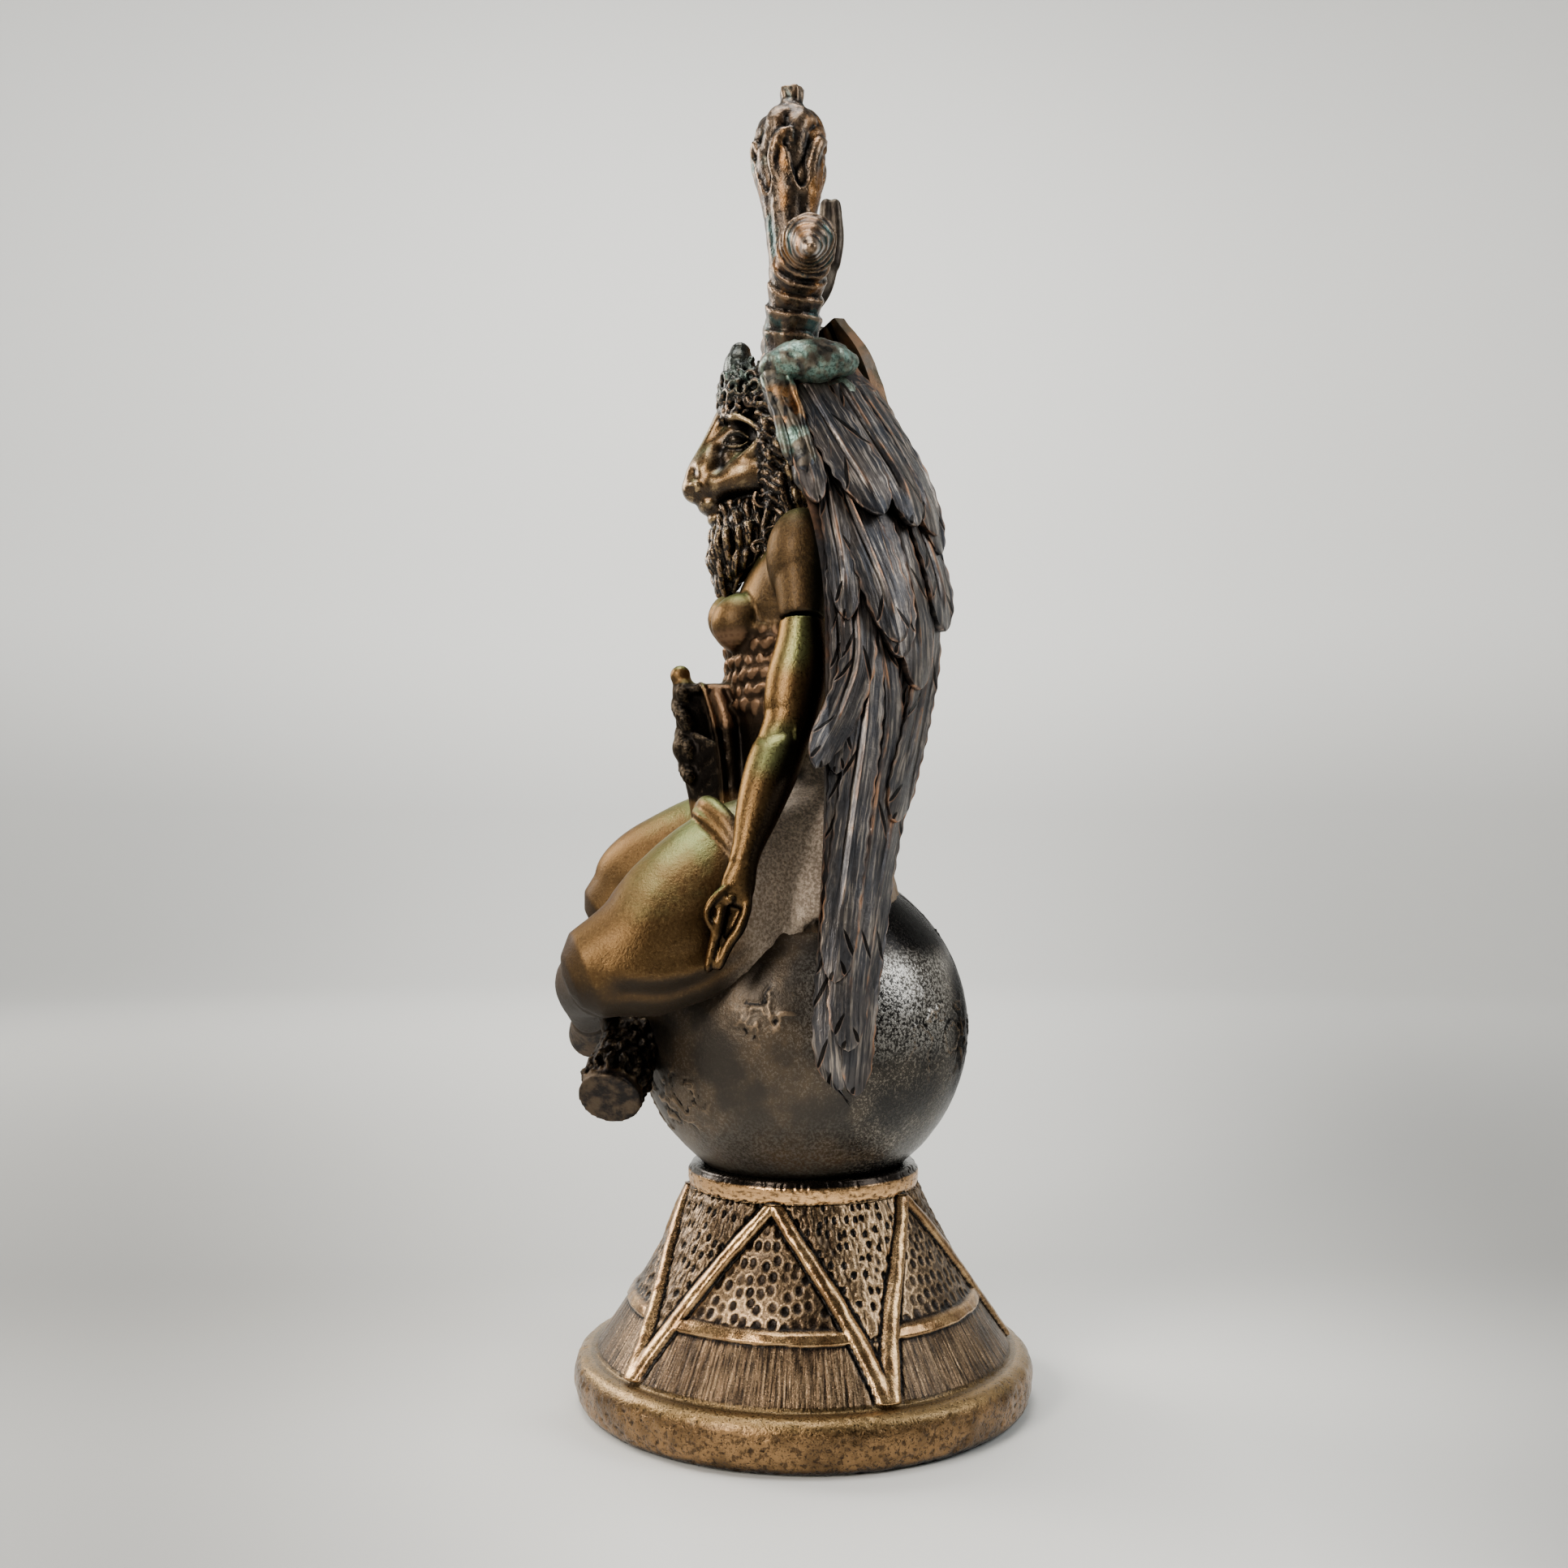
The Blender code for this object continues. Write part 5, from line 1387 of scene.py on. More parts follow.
def build_wing(name, side, lift, density):
    wing = Wing(side, lift)
    clay = Clay()
    add_wing_base(clay, wing, density)
    for k, (line, width, rise) in enumerate(FEATHERS):
        add_feather(clay, wing, line, width, rise, k + 1, density)
    first_bone = clay.size
    add_wing_arm(clay, wing)
    obj = clay.finish(name)
    mesh = obj.data
    spots = in_units(points_of(mesh))
    bone = np.zeros(len(spots))
    bone[first_bone:] = 1.0
    rough = 0.8 * lumps(spots, 2.6, seed=62) + 0.5 * lumps(spots, 0.9, seed=63)
    raise_skin(mesh, bone * rough)
    mesh.shade_smooth()
    mesh.set_sharp_from_angle(angle=math.radians(50))
    notes = np.vstack(clay.notes)
    keep_value(mesh, "bone", bone)
    keep_place(mesh, "blade", notes[:, :3])
    keep_value(mesh, "reach", notes[:, 3])
    # The inner face of the near wing, which the finish paints black as painted shade
    inward = -normals_of(mesh) @ np.array([0.78, 0.62, 0.0]) * max(side, 0.0)
    keep_value(mesh, "inner", ramp(inward, 0.15, 0.4))
    wear_and_shade_marks(mesh, fine_rounds=2, broad_rounds=10, fine=0.06, broad=0.35)
    return obj


# Left arm

def build_arm():
    clay = Clay()
    limb(clay, [
        (*(SEAM_CENTRE + SEAM_AXIS * SEAM_GAP), 4.4, 3.9), (20.6, -1.5, 38.6, 4.6, 4.2),
        (20.9, -1.7, 35.5, 4.7), (21.3, -2.4, 31, 4.7, 5.2), (21.7, -3.1, 27, 4.6, 5),
        (22, -3.5, 24, 4.3, 4.6), (22.9, -4.6, 20.6, 4.1, 4.4), (24.6, -6.3, 16.4, 4.2, 4.6),
        (26.6, -7.9, 12, 4, 4.3), (28.8, -9.7, 6.5, 3.4, 3.5), (30.5, -11, 2, 2.7, 2.6),
        (31.6, -11.9, -1.2, 2.3, 2.4),
    ], sides=44, steps=10, round_ends=False)
    # Palm, its thin hollow, and two fingers that meet as they point down
    limb(clay, [
        (31.6, -11.8, -1.2, 2.1, 2.4), (32.1, -12.6, -4.4, 1.7, 2.8), (32.4, -13.1, -6.8, 1.2, 2.6),
    ], sides=24)
    ball(clay, (31.7, -13.6, -10.0), (0.8, 2.3, 3.8))
    limb(clay, [
        (32.6, -15, -6, 1), (33, -15.4, -8.6, 1), (33.2, -16.1, -12.2, 1.05, 1), (33.2, -16.4, -13.2, 0.90),
        (33.3, -17.1, -16.2, 0.90, 0.85), (33.2, -17.4, -17.8, 0.75),
    ], sides=16)
    limb(clay, [
        (32.4, -11.2, -5, 0.9), (33, -11.2, -8, 0.85), (33.4, -12.4, -11.4, 1, 0.95),
        (33.4, -13.9, -13.6, 0.90), (33.5, -15.1, -16, 0.88, 0.85), (33.4, -15.7, -17.4, 0.75),
    ], sides=16)
    for y, z in ((-17.5, -17.4), (-15.8, -17.0)):
        ball(clay, (34.0, y, z), (0.26, 0.48, 0.72), sides=12, rise=8)
    # The thumb bends round to the first finger, and knuckles swell at the palm
    limb(clay, [
        (32.6, -13.6, -4.4, 1), (33.5, -16.2, -6.4, 0.85, 0.80), (33.8, -17.5, -8.2, 0.70, 0.65),
        (33.8, -17.6, -9.8, 0.65, 0.60), (33.5, -16.7, -11.6, 0.60, 0.55),
    ], sides=16)
    ball(clay, (33.2, -14.0, -6.8), (1.0, 1.0, 0.9), sides=16)
    obj = clay.finish("arm_left")
    one_skin(obj, ARM_GRAIN)
    mesh = obj.data
    spots = in_units(points_of(mesh))
    # A crease at the elbow's bend
    crease = off_line(spots[:, 1:], ((-8.4, 20.4), (-4.6, 21.4), (-1.6, 20.6)))
    raise_skin(mesh, -0.35 * np.exp(-(crease / 1.1) ** 2) * (spots[:, 1] < -3.0))
    mesh.shade_smooth()
    wear_and_shade_marks(mesh)
    return obj


# Finishes

class Finish:
    """The shader nodes of one finish."""

    def __init__(self, name):
        self.material = bpy.data.materials.new(name)
        self.material.use_nodes = True
        tree = self.material.node_tree
        self.nodes, self.links = tree.nodes, tree.links
        self.shader = self.nodes["Principled BSDF"]
        self.place = self.nodes.new("ShaderNodeTexCoord").outputs["Object"]
        self.x, self.y, self.z = self.axes(self.place)

    def feed(self, socket, value):
        if isinstance(value, bpy.types.NodeSocket):
            self.links.new(value, socket)
        elif socket.type == "RGBA":
            socket.default_value = (*value, 1.0)
        else:
            socket.default_value = value

    def node(self, kind, inputs, **settings):
        """A new node with its settings made and its inputs fed."""
        node = self.nodes.new("ShaderNode" + kind)
        for name, value in settings.items():
            setattr(node, name, value)
        for name, value in inputs.items():
            self.feed(node.inputs[name], value)
        return node

    def kept(self, name, output="Fac"):
        """A value or place that was kept with the mesh's points."""
        return self.node("Attribute", {}, attribute_name=name).outputs[output]

    def stretch(self, scale, place=None):
        return self.node("Mapping", {"Scale": scale, "Vector": place or self.place}).outputs["Vector"]

    def noise(self, size, detail=4.0, roughness=0.6, place=None):
        """Clouded noise whose lumps are about the given size in metres."""
        inputs = {"Scale": 1.0 / size, "Detail": detail, "Roughness": roughness,
                  "Vector": place or self.place}
        return self.node("TexNoise", inputs).outputs["Fac"]

    def span(self, value, low, high, to_low=0.0, to_high=1.0):
        """The value's run from low to high, spread from to_low to to_high and held there."""
        inputs = dict(enumerate((value, low, high, to_low, to_high)))
        return self.node("MapRange", inputs, interpolation_type="SMOOTHSTEP").outputs["Result"]

    def between(self, share, at_none, at_full):
        """A value eased from one to the other as the share goes from 0 to 1."""
        return self.span(share, 0.0, 1.0, at_none, at_full)

    def mix(self, share, a, b):
        return self.node("Mix", {0: share, 6: a, 7: b}, data_type="RGBA").outputs[2]

    def axes(self, place):
        """A place's own x, y and z."""
        return tuple(self.node("SeparateXYZ", {"Vector": place}).outputs)

    def spot(self, x, y, z):
        return self.node("CombineXYZ", {0: x, 1: y, 2: z}).outputs["Vector"]

    def math(self, operation, a, b=0.0):
        """Arithmetic on one or two values."""
        return self.node("Math", {0: a, 1: b}, operation=operation).outputs[0]

    def chain(self, operation, numbers):
        total = numbers[0]
        for number in numbers[1:]:
            total = self.math(operation, total, number)
        return total

    def plus(self, *numbers):
        return self.chain("ADD", numbers)

    def times(self, *numbers):
        return self.chain("MULTIPLY", numbers)

    def minus(self, a, b):
        return self.math("SUBTRACT", a, b)

    def most(self, a, b):
        return self.math("MAXIMUM", a, b)

    def apart(self, a, b):
        """How far two values lie apart."""
        return self.math("ABSOLUTE", self.minus(a, b))

    def rise(self):
        """Height over the top of the globe."""
        return self.minus(self.z, SEAT_HEIGHT)

    def facing(self):
        """How far the surface faces along x, y and z, each from -1 to 1."""
        return self.axes(self.node("NewGeometry", {}).outputs["Normal"])

    def open_air(self, distance, low, high, to_low=0.0, to_high=1.0):
        """Spreads how open a place is, which falls toward 0 in corners and crevices, where the finishes paint
        shade.
        """
        shelter = self.node("AmbientOcclusion", {"Distance": distance}, samples=6).outputs["AO"]
        return self.span(shelter, low, high, to_low, to_high)

    def proud(self, low, high, to_low=0.0, to_high=1.0):
        """Spreads how far a place stands proud of its nearest surroundings."""
        return self.span(self.kept("proud"), low, high, to_low, to_high)

    def above(self, low, high, to_low=0.0, to_high=1.0):
        """Spreads how far a place stands above its farther surroundings."""
        return self.span(self.kept("above"), low, high, to_low, to_high)

    def bumps(self, height, depth):
        bump = self.node("Bump", {"Strength": 1.0, "Distance": depth, "Height": height})
        self.feed(self.shader.inputs["Normal"], bump.outputs["Normal"])

    def finish(self, colour, roughness, metallic, coat=0.0, edge=(1.0, 1.0, 1.0)):
        for name, value in (("Specular Tint", edge), ("Base Color", colour), ("Roughness", roughness),
                            ("Metallic", metallic), ("Coat Weight", coat), ("Coat Roughness", 0.25)):
            self.feed(self.shader.inputs[name], value)
        return self.material


DARK = (0.006, 0.0045, 0.0035)
UMBER = (0.045, 0.029, 0.017)
BRONZE = (0.155, 0.088, 0.034)
GOLD = (0.34, 0.215, 0.090)
# Green-gold of the painted sheen on faces turned up
GREEN_SHEEN = (0.20, 0.225, 0.085)
SLATE = (0.033, 0.036, 0.044)
HAIR = (0.016, 0.012, 0.009)
# Smoky brown of the painted shade low on the legs
SHADE_BROWN = (0.030, 0.024, 0.018)
# Black of painted shade and painted dark reflection
SHADE_BLACK = (0.008, 0.008, 0.009)


def bronze_with_painted_sheen(name, sheen_from=0.25, sheen_to=0.80):
    """Bronze with a painted green-gold sheen where it faces up, and painted shade turning it darker brown
    below.
    """
    f = Finish(name)
    grain = f.noise(0.00050, 3.0, 0.75)
    drift = f.noise(0.010, 3.0)
    facing = f.plus(f.facing()[2], f.span(drift, 0.3, 0.7, -0.15, 0.15))
    # Painted shade: umber where the surface faces down, bronze where it faces up
    metal = f.mix(f.span(facing, -0.75, 0.10), UMBER, BRONZE)
    # The painted green sheen fades out toward the knees
    green = f.times(f.span(facing, sheen_from, sheen_to), f.span(f.y, -0.034, -0.021))
    metal = f.mix(green, metal, GREEN_SHEEN)
    metal = f.mix(f.span(grain, 0.52, 0.72, 0.0, 0.35), metal, GOLD)
    metal = f.mix(f.span(grain, 0.28, 0.48, 0.38, 0.0), metal, DARK)
    return f, metal, grain


def body_finish():
    f, metal, grain = bronze_with_painted_sheen("patinated bronze", 0.30, 0.85)
    rise = f.rise()
    recess = f.above(0.02, 0.36)
    proud = f.proud(0.55, 0.85)
    open_air = f.open_air(0.005, 0.15, 0.75)
    # Hollows go dark: partly dark patina, partly painted shade where the occlusion finds corners and gaps
    # between parts
    colour = f.mix(f.times(recess, open_air), DARK, metal)
    # Painted shade: smoky brown on faces turned down beneath the knees and thighs
    under = f.times(f.span(f.facing()[2], -0.15, -0.60), f.span(rise, 0.012, 0.0))
    colour = f.mix(f.times(under, 0.85), colour, SHADE_BROWN)
    # Painted shade: smoky brown on low faces turned toward the figure's front
    beneath = f.times(f.span(f.facing()[1], -0.15, -0.95), f.span(rise, 0.006, -0.010))
    dull = f.most(under, beneath)
    colour = f.mix(f.times(beneath, 0.8), colour, SHADE_BROWN)
    # The shoulder is darker, and painted shade blackens it on the side toward the wing
    shoulder = f.times(f.span(f.x, 0.011, 0.014), f.span(rise, 0.038, 0.041), f.span(rise, 0.068, 0.064))
    colour = f.mix(f.times(shoulder, f.span(grain, 0.35, 0.65, 0.85, 0.50)), colour, (0.046, 0.031, 0.018))
    toward_wing = f.span(f.facing()[1], 0.0, 0.5, 0.0, 0.8)
    colour = f.mix(f.times(shoulder, toward_wing), colour, (0.020, 0.022, 0.014))
    # Dull grey-brown bronze over hip and seat, painted pale as painted light behind the arm and beside the
    # wing
    blotch = f.noise(0.006, 3.0)
    hip = f.times(f.span(f.y, -0.016, -0.006), f.span(rise, 0.022, 0.014),
                  f.span(f.x, -0.004, 0.014), f.span(f.y, 0.020, 0.009))
    hip_light_tone = f.mix(f.span(grain, 0.38, 0.66), (0.30, 0.235, 0.180), (0.74, 0.60, 0.47))
    colour = f.mix(f.times(hip, 0.92), colour, hip_light_tone)
    seat_tone = f.mix(f.span(blotch, 0.4, 0.6), (0.050, 0.040, 0.031), (0.125, 0.085, 0.052))
    colour = f.mix(f.kept("seat"), colour, seat_tone)
    colour = f.mix(f.times(f.kept("crack"), 0.95), colour, DARK)
    colour = f.mix(f.times(f.kept("lip"), f.span(grain, 0.40, 0.55)), colour, (0.42, 0.33, 0.24))
    rubbed = f.plus(proud, f.above(0.5, 0.8, 0.0, 0.4))
    scaled = f.mix(rubbed, (0.026, 0.016, 0.010), (0.19, 0.108, 0.060))
    # Painted shadow: scales low on the belly go dark under the shield
    scaled = f.mix(f.span(rise, 0.0255, 0.0235), scaled, DARK)
    colour = f.mix(f.times(f.kept("scaled"), 0.95), colour, scaled)
    shag = f.mix(f.times(proud, f.span(grain, 0.4, 0.7, 0.0, 0.6)), DARK, (0.13, 0.095, 0.06))
    colour = f.mix(f.kept("fur"), colour, shag)
    horn = f.mix(f.span(f.noise(0.0026, 3.0), 0.38, 0.60), (0.018, 0.016, 0.016), (0.085, 0.062, 0.042))
    colour = f.mix(f.kept("hoof"), colour, horn)
    # The raised hand and forearm are dull grey-brown too
    hand_tone = f.mix(f.span(blotch, 0.4, 0.6), (0.040, 0.036, 0.034), (0.100, 0.086, 0.070))
    colour = f.mix(f.times(f.span(rise, 0.098, 0.106), 0.9), colour, hand_tone)
    f.bumps(grain, 0.00011)
    rough = f.plus(f.span(grain, 0.3, 0.8, 0.30, 0.46), f.plus(f.times(dull, 0.25), f.times(shoulder, 0.08)))
    plain = f.most(f.minus(hip, f.kept("seat")), f.times(dull, 0.6))
    edge = f.mix(dull, (0.62, 0.56, 0.50), (0.22, 0.18, 0.15))
    return f.finish(colour, rough, f.between(plain, 0.90, 0.22), coat=0.03, edge=edge)


def arm_finish():
    """Bronze with two painted green sheens, and painted shade blackening it down the side toward the wing."""
    f, metal, grain = bronze_with_painted_sheen("arm bronze with painted sheen", 0.55, 0.95)
    rise = f.rise()
    # Painted sheen: two green highlights, high on the upper arm and along the forearm
    upper = f.span(rise, 0.0300, 0.0350)
    lower = f.times(f.span(rise, 0.0120, 0.0165), f.span(rise, 0.0245, 0.0200))
    green_sheen = f.times(f.most(upper, lower), f.span(f.facing()[1], -0.95, -0.15), 0.80)
    metal = f.mix(f.times(green_sheen, f.span(grain, 0.30, 0.55, 0.55, 1.0)), metal, GREEN_SHEEN)
    # Painted shade where the occlusion finds the body and wing close by
    colour = f.mix(f.open_air(0.010, 0.30, 0.85), DARK, metal)
    # Painted shade: the side facing the wing goes nearly black
    colour = f.mix(f.span(f.facing()[1], -0.05, 0.45, 0.0, 0.93), colour, DARK)
    f.bumps(grain, 0.00008)
    return f.finish(colour, f.span(grain, 0.3, 0.8, 0.26, 0.42), 0.92, coat=0.03, edge=(0.55, 0.48, 0.40))


def head_finish():
    """Rubbed bronze skin under nearly black hair, whose single hairs catch the light."""
    f, metal, grain = bronze_with_painted_sheen("rubbed bronze")
    blotch = f.noise(0.0030, 4.0)
    recess = f.above(0.26, 0.50)
    proud = f.proud(0.50, 0.86)
    open_air = f.open_air(0.0045, 0.28, 0.88)
    bare = f.mix(f.span(proud, 0.3, 0.9, 0.0, 0.80), metal, (0.44, 0.31, 0.16))
    # Hollows go dark: partly dark patina, partly painted shade from the occlusion
    skin = f.mix(f.times(recess, open_air), DARK, bare)
    # Painted shade over the sockets, beside the nose and behind the mouth
    skin = f.mix(f.times(f.kept("shade"), 0.92), skin, DARK)
    fibre = f.noise(0.42, 2.0, 0.5, f.kept("combed", "Vector"))
    crest = f.times(f.proud(0.62, 0.95), f.span(fibre, 0.36, 0.56, 0.4, 1.0),
                    f.span(blotch, 0.36, 0.62, 0.45, 1.0))
    lock = f.mix(crest, HAIR, (0.30, 0.19, 0.11))
    # Painted shade darkens the hair where the occlusion finds gaps between locks
    colour = f.mix(f.kept("hair"), skin, f.mix(open_air, DARK, lock))
    high = f.span(f.z, SEAT_HEIGHT + 0.084, SEAT_HEIGHT + 0.090)
    colour = f.mix(f.times(high, 0.62), colour, DARK)
    green = f.times(f.span(blotch, 0.46, 0.58), high, f.proud(0.45, 0.70, 0.25, 0.75))
    colour = f.mix(green, colour, (0.060, 0.110, 0.092))
    tuft = f.span(f.z, SEAT_HEIGHT + 0.0895, SEAT_HEIGHT + 0.0915)
    colour = f.mix(f.times(tuft, 0.8), colour, (0.030, 0.038, 0.034))
    strands = f.times(f.kept("hair"), fibre, 2.0)
    f.bumps(f.plus(f.times(grain, 0.7), strands), 0.00008)
    return f.finish(colour, f.span(grain, 0.3, 0.8, 0.25, 0.38), 0.88, coat=0.25)


def torch_finish():
    """Dark brown casting with rubbed edges and drifting patches of copper and verdigris."""
    f = Finish("dark casting")
    grain = f.noise(0.00045, 2.0, 0.7)
    blotch = f.noise(0.0042, 3.0)
    tint = f.noise(0.0055, 2.0, 0.5, f.stretch((1.0, 1.0, 0.5)))
    recess = f.above(0.30, 0.54)
    proud = f.proud(0.52, 0.86)
    base = f.mix(f.span(blotch, 0.38, 0.62), (0.038, 0.030, 0.026), (0.125, 0.090, 0.062))
    base = f.mix(f.span(tint, 0.54, 0.66), base, (0.25, 0.115, 0.035))
    base = f.mix(f.span(tint, 0.34, 0.44, 1.0, 0.0), base, (0.045, 0.085, 0.080))
    base = f.mix(f.span(grain, 0.30, 0.50, 0.4, 0.0), base, DARK)
    colour = f.mix(f.times(proud, 0.55), base, (0.34, 0.22, 0.13))
    # Hollows go dark: partly dark patina, partly painted shade from the occlusion
    colour = f.mix(f.times(recess, f.open_air(0.004, 0.25, 0.85)), DARK, colour)
    f.bumps(grain, 0.00010)
    return f.finish(colour, f.span(grain, 0.3, 0.8, 0.26, 0.44), 0.90, coat=0.08)


# How far apart the splits in a feather's vane can lie, in figure units
SPLIT_SPACING = 5.4


def wing_splits(f):
    """Slanting splits cut into the blades between shaft and edge, and the bright rim on one side of them,
    partly rubbed wear and partly a painted highlight.
    """
    along, offset, number = f.axes(f.kept("blade", "Vector"))
    wide = f.math("ABSOLUTE", offset)
    side = f.math("SIGN", offset)
    run = f.plus(f.minus(along, f.times(wide, 2.3)), f.plus(f.times(number, 1.7), f.times(side, 1.3)))
    turns = f.math("DIVIDE", run, SPLIT_SPACING)
    cell = f.math("FLOOR", turns)
    seed = f.plus(f.times(cell, 12.99), f.plus(f.times(number, 7.77), f.times(side, 3.1)))
    chance = f.math("FRACT", f.times(f.math("SINE", seed), 437.58))
    inside = f.minus(f.minus(turns, cell), f.between(chance, 0.30, 0.70))
    away = f.times(f.math("ABSOLUTE", inside), SPLIT_SPACING)
    reach = f.math("DIVIDE", f.minus(f.kept("reach"), 0.16), 0.84)
    lens = f.math("SINE", f.times(f.math("MINIMUM", f.most(reach, 0.0), 1.0), math.pi))
    rare = f.minus(chance, f.times(f.math("GREATER_THAN", offset, 0.0), 0.20))
    lens = f.times(lens, f.span(rare, 0.50, 0.58), f.minus(1.0, f.kept("bone")))
    gap = f.minus(away, f.times(lens, 0.70))
    here = f.span(lens, 0.12, 0.35)
    split = f.times(f.span(gap, 0.0, 0.22, 1.0, 0.0), here)
    # A thin bright rim along one side of each split: rubbed wear and a painted highlight
    rim = f.times(f.span(f.apart(gap, 0.34), 0.05, 0.28, 1.0, 0.0), here, f.span(inside, 0.0, 0.01))
    streak = f.noise(1.0, 3.0, 0.6, f.spot(f.times(along, 0.13), f.times(offset, 1.9), f.times(number, 9.3)))
    return split, rim, streak


def wing_finish(name, low, high):
    """Blackened feathers, rubbed thin along some of their raised edges."""
    f = Finish(name)
    grain = f.noise(0.0006, 3.0, 0.7)
    blotch = f.noise(0.007, 4.0)
    spread = f.noise(0.0050, 3.0)
    split, rim, streak = wing_splits(f)
    proud = f.kept("proud")
    rubbed = f.times(f.span(proud, 0.60, 0.92), f.span(streak, 0.42, 0.60, 0.15, 1.0),
                     f.span(spread, 0.38, 0.60, 0.15, 0.95))
    rise = f.rise()
    vane = f.mix(f.span(blotch, 0.38, 0.62), low, high)
    vane = f.mix(f.span(rise, 0.066, 0.036, 0.0, 0.50), vane, (0.128, 0.122, 0.124))
    vane = f.mix(f.span(streak, 0.30, 0.46, 0.75, 0.0), vane, (0.016, 0.017, 0.021))
    worn = f.times(f.span(streak, 0.50, 0.64), f.span(spread, 0.34, 0.58, 0.30, 1.0))
    colour = f.mix(worn, vane, (0.36, 0.31, 0.265))
    warm = f.mix(f.span(blotch, 0.42, 0.54), (0.28, 0.225, 0.185), (0.44, 0.225, 0.120))
    # Rubbed raised edges turn warm as wear, and the split rims at half strength as wear and painted highlight
    colour = f.mix(f.most(rubbed, f.times(rim, 0.50)), colour, warm)
    open_air = f.open_air(0.004, 0.30, 0.85)
    # Hollows go dark: partly dark patina, partly painted shade from the occlusion
    colour = f.mix(f.times(open_air, f.above(0.16, 0.42)), DARK, colour)
    colour = f.mix(f.times(split, 0.95), colour, DARK)
    patch = f.noise(0.0046, 2.0, 0.5)
    teal = f.mix(f.span(patch, 0.46, 0.57), (0.215, 0.340, 0.285), (0.062, 0.060, 0.052))
    front = f.mix(f.span(patch, 0.46, 0.55), (0.030, 0.028, 0.027), (0.40, 0.200, 0.075))
    front = f.mix(f.span(rise, 0.0750, 0.0730), front, teal)
    front = f.mix(f.span(rise, 0.0700, 0.0680), front, low)
    bone_tone = f.mix(f.span(rise, 0.0830, 0.0815), teal, front)
    bone_tone = f.mix(f.span(grain, 0.42, 0.60, 0.0, 0.62), bone_tone, DARK)
    bone_tone = f.mix(f.span(proud, 0.66, 0.95, 0.0, 0.35), bone_tone, (0.25, 0.20, 0.14))
    colour = f.mix(f.kept("bone"), colour, bone_tone)
    # Painted shade: the near wing's inner face, turned toward the body and arm, is painted black
    colour = f.mix(f.times(f.kept("inner"), 0.92), colour, SHADE_BLACK)
    height = f.minus(f.plus(f.times(grain, 0.16), f.times(streak, 0.30)), split)
    f.bumps(height, 0.00040)
    rough = f.plus(f.span(grain, 0.3, 0.8, 0.36, 0.54), f.times(rubbed, 0.10))
    return f.finish(colour, rough, 0.86, coat=0.05)


def globe_finish():
    """Globe brown and matt at its front, dark and glossy at its back, with a painted window reflection on its
    back flank and painted black above and beyond it.
    """
    f = Finish("dark globe")
    grain = f.noise(0.0005, 2.0, 0.8)
    blotch = f.noise(0.016, 4.0)
    behind = f.span(f.y, -0.006, 0.014)
    front_tone = f.mix(f.span(blotch, 0.38, 0.62), (0.045, 0.038, 0.031), (0.105, 0.075, 0.048))
    back_tone = f.mix(f.span(blotch, 0.38, 0.62), (0.022, 0.021, 0.020), (0.060, 0.052, 0.042))
    colour = f.mix(behind, front_tone, back_tone)
    speck = f.times(f.span(grain, 0.52, 0.62), f.span(blotch, 0.38, 0.6, 0.1, 1.0))
    colour = f.mix(f.times(speck, f.between(behind, 0.30, 0.70)), colour, (0.30, 0.26, 0.21))
    rise = f.rise()
    flank = f.times(behind, f.span(f.x, -0.014, 0.0))
    # Painted reflection: a pale speckled patch where a window would shine on the back flank
    window_glint = f.times(flank, f.span(f.y, 0.86 * GLOBE_RADIUS, 0.74 * GLOBE_RADIUS),
                   f.span(rise, -0.035, -0.028), f.span(rise, -0.014, -0.019), f.span(grain, 0.42, 0.58))
    colour = f.mix(f.times(window_glint, 0.80), colour, (0.58, 0.55, 0.50))
    # Painted dark reflection: black above that patch and toward the globe's rear edge
    rear = f.span(f.y, 0.80 * GLOBE_RADIUS, 0.92 * GLOBE_RADIUS)
    upper = f.times(flank, f.most(f.span(rise, -0.019, -0.013), rear))
    colour = f.mix(f.times(upper, 0.85), colour, SHADE_BLACK)
    lower = f.times(f.span(rise, -0.040, -0.052), f.span(grain, 0.40, 0.60))
    colour = f.mix(f.times(lower, 0.45), colour, (0.20, 0.19, 0.17))
    rubbed = f.times(f.kept("coast"), f.proud(0.62, 0.92))
    colour = f.mix(f.times(rubbed, 0.8), colour, (0.30, 0.21, 0.13))
    colour = f.mix(f.above(0.15, 0.42), DARK, colour)
    f.bumps(grain, 0.00008)
    rough = f.plus(f.between(behind, 0.42, 0.22), f.span(grain, 0.4, 0.7, 0.0, 0.10))
    edge = f.mix(upper, (0.80, 0.80, 0.80), (0.12, 0.12, 0.13))
    return f.finish(colour, rough, 0.82, coat=0.05, edge=edge)


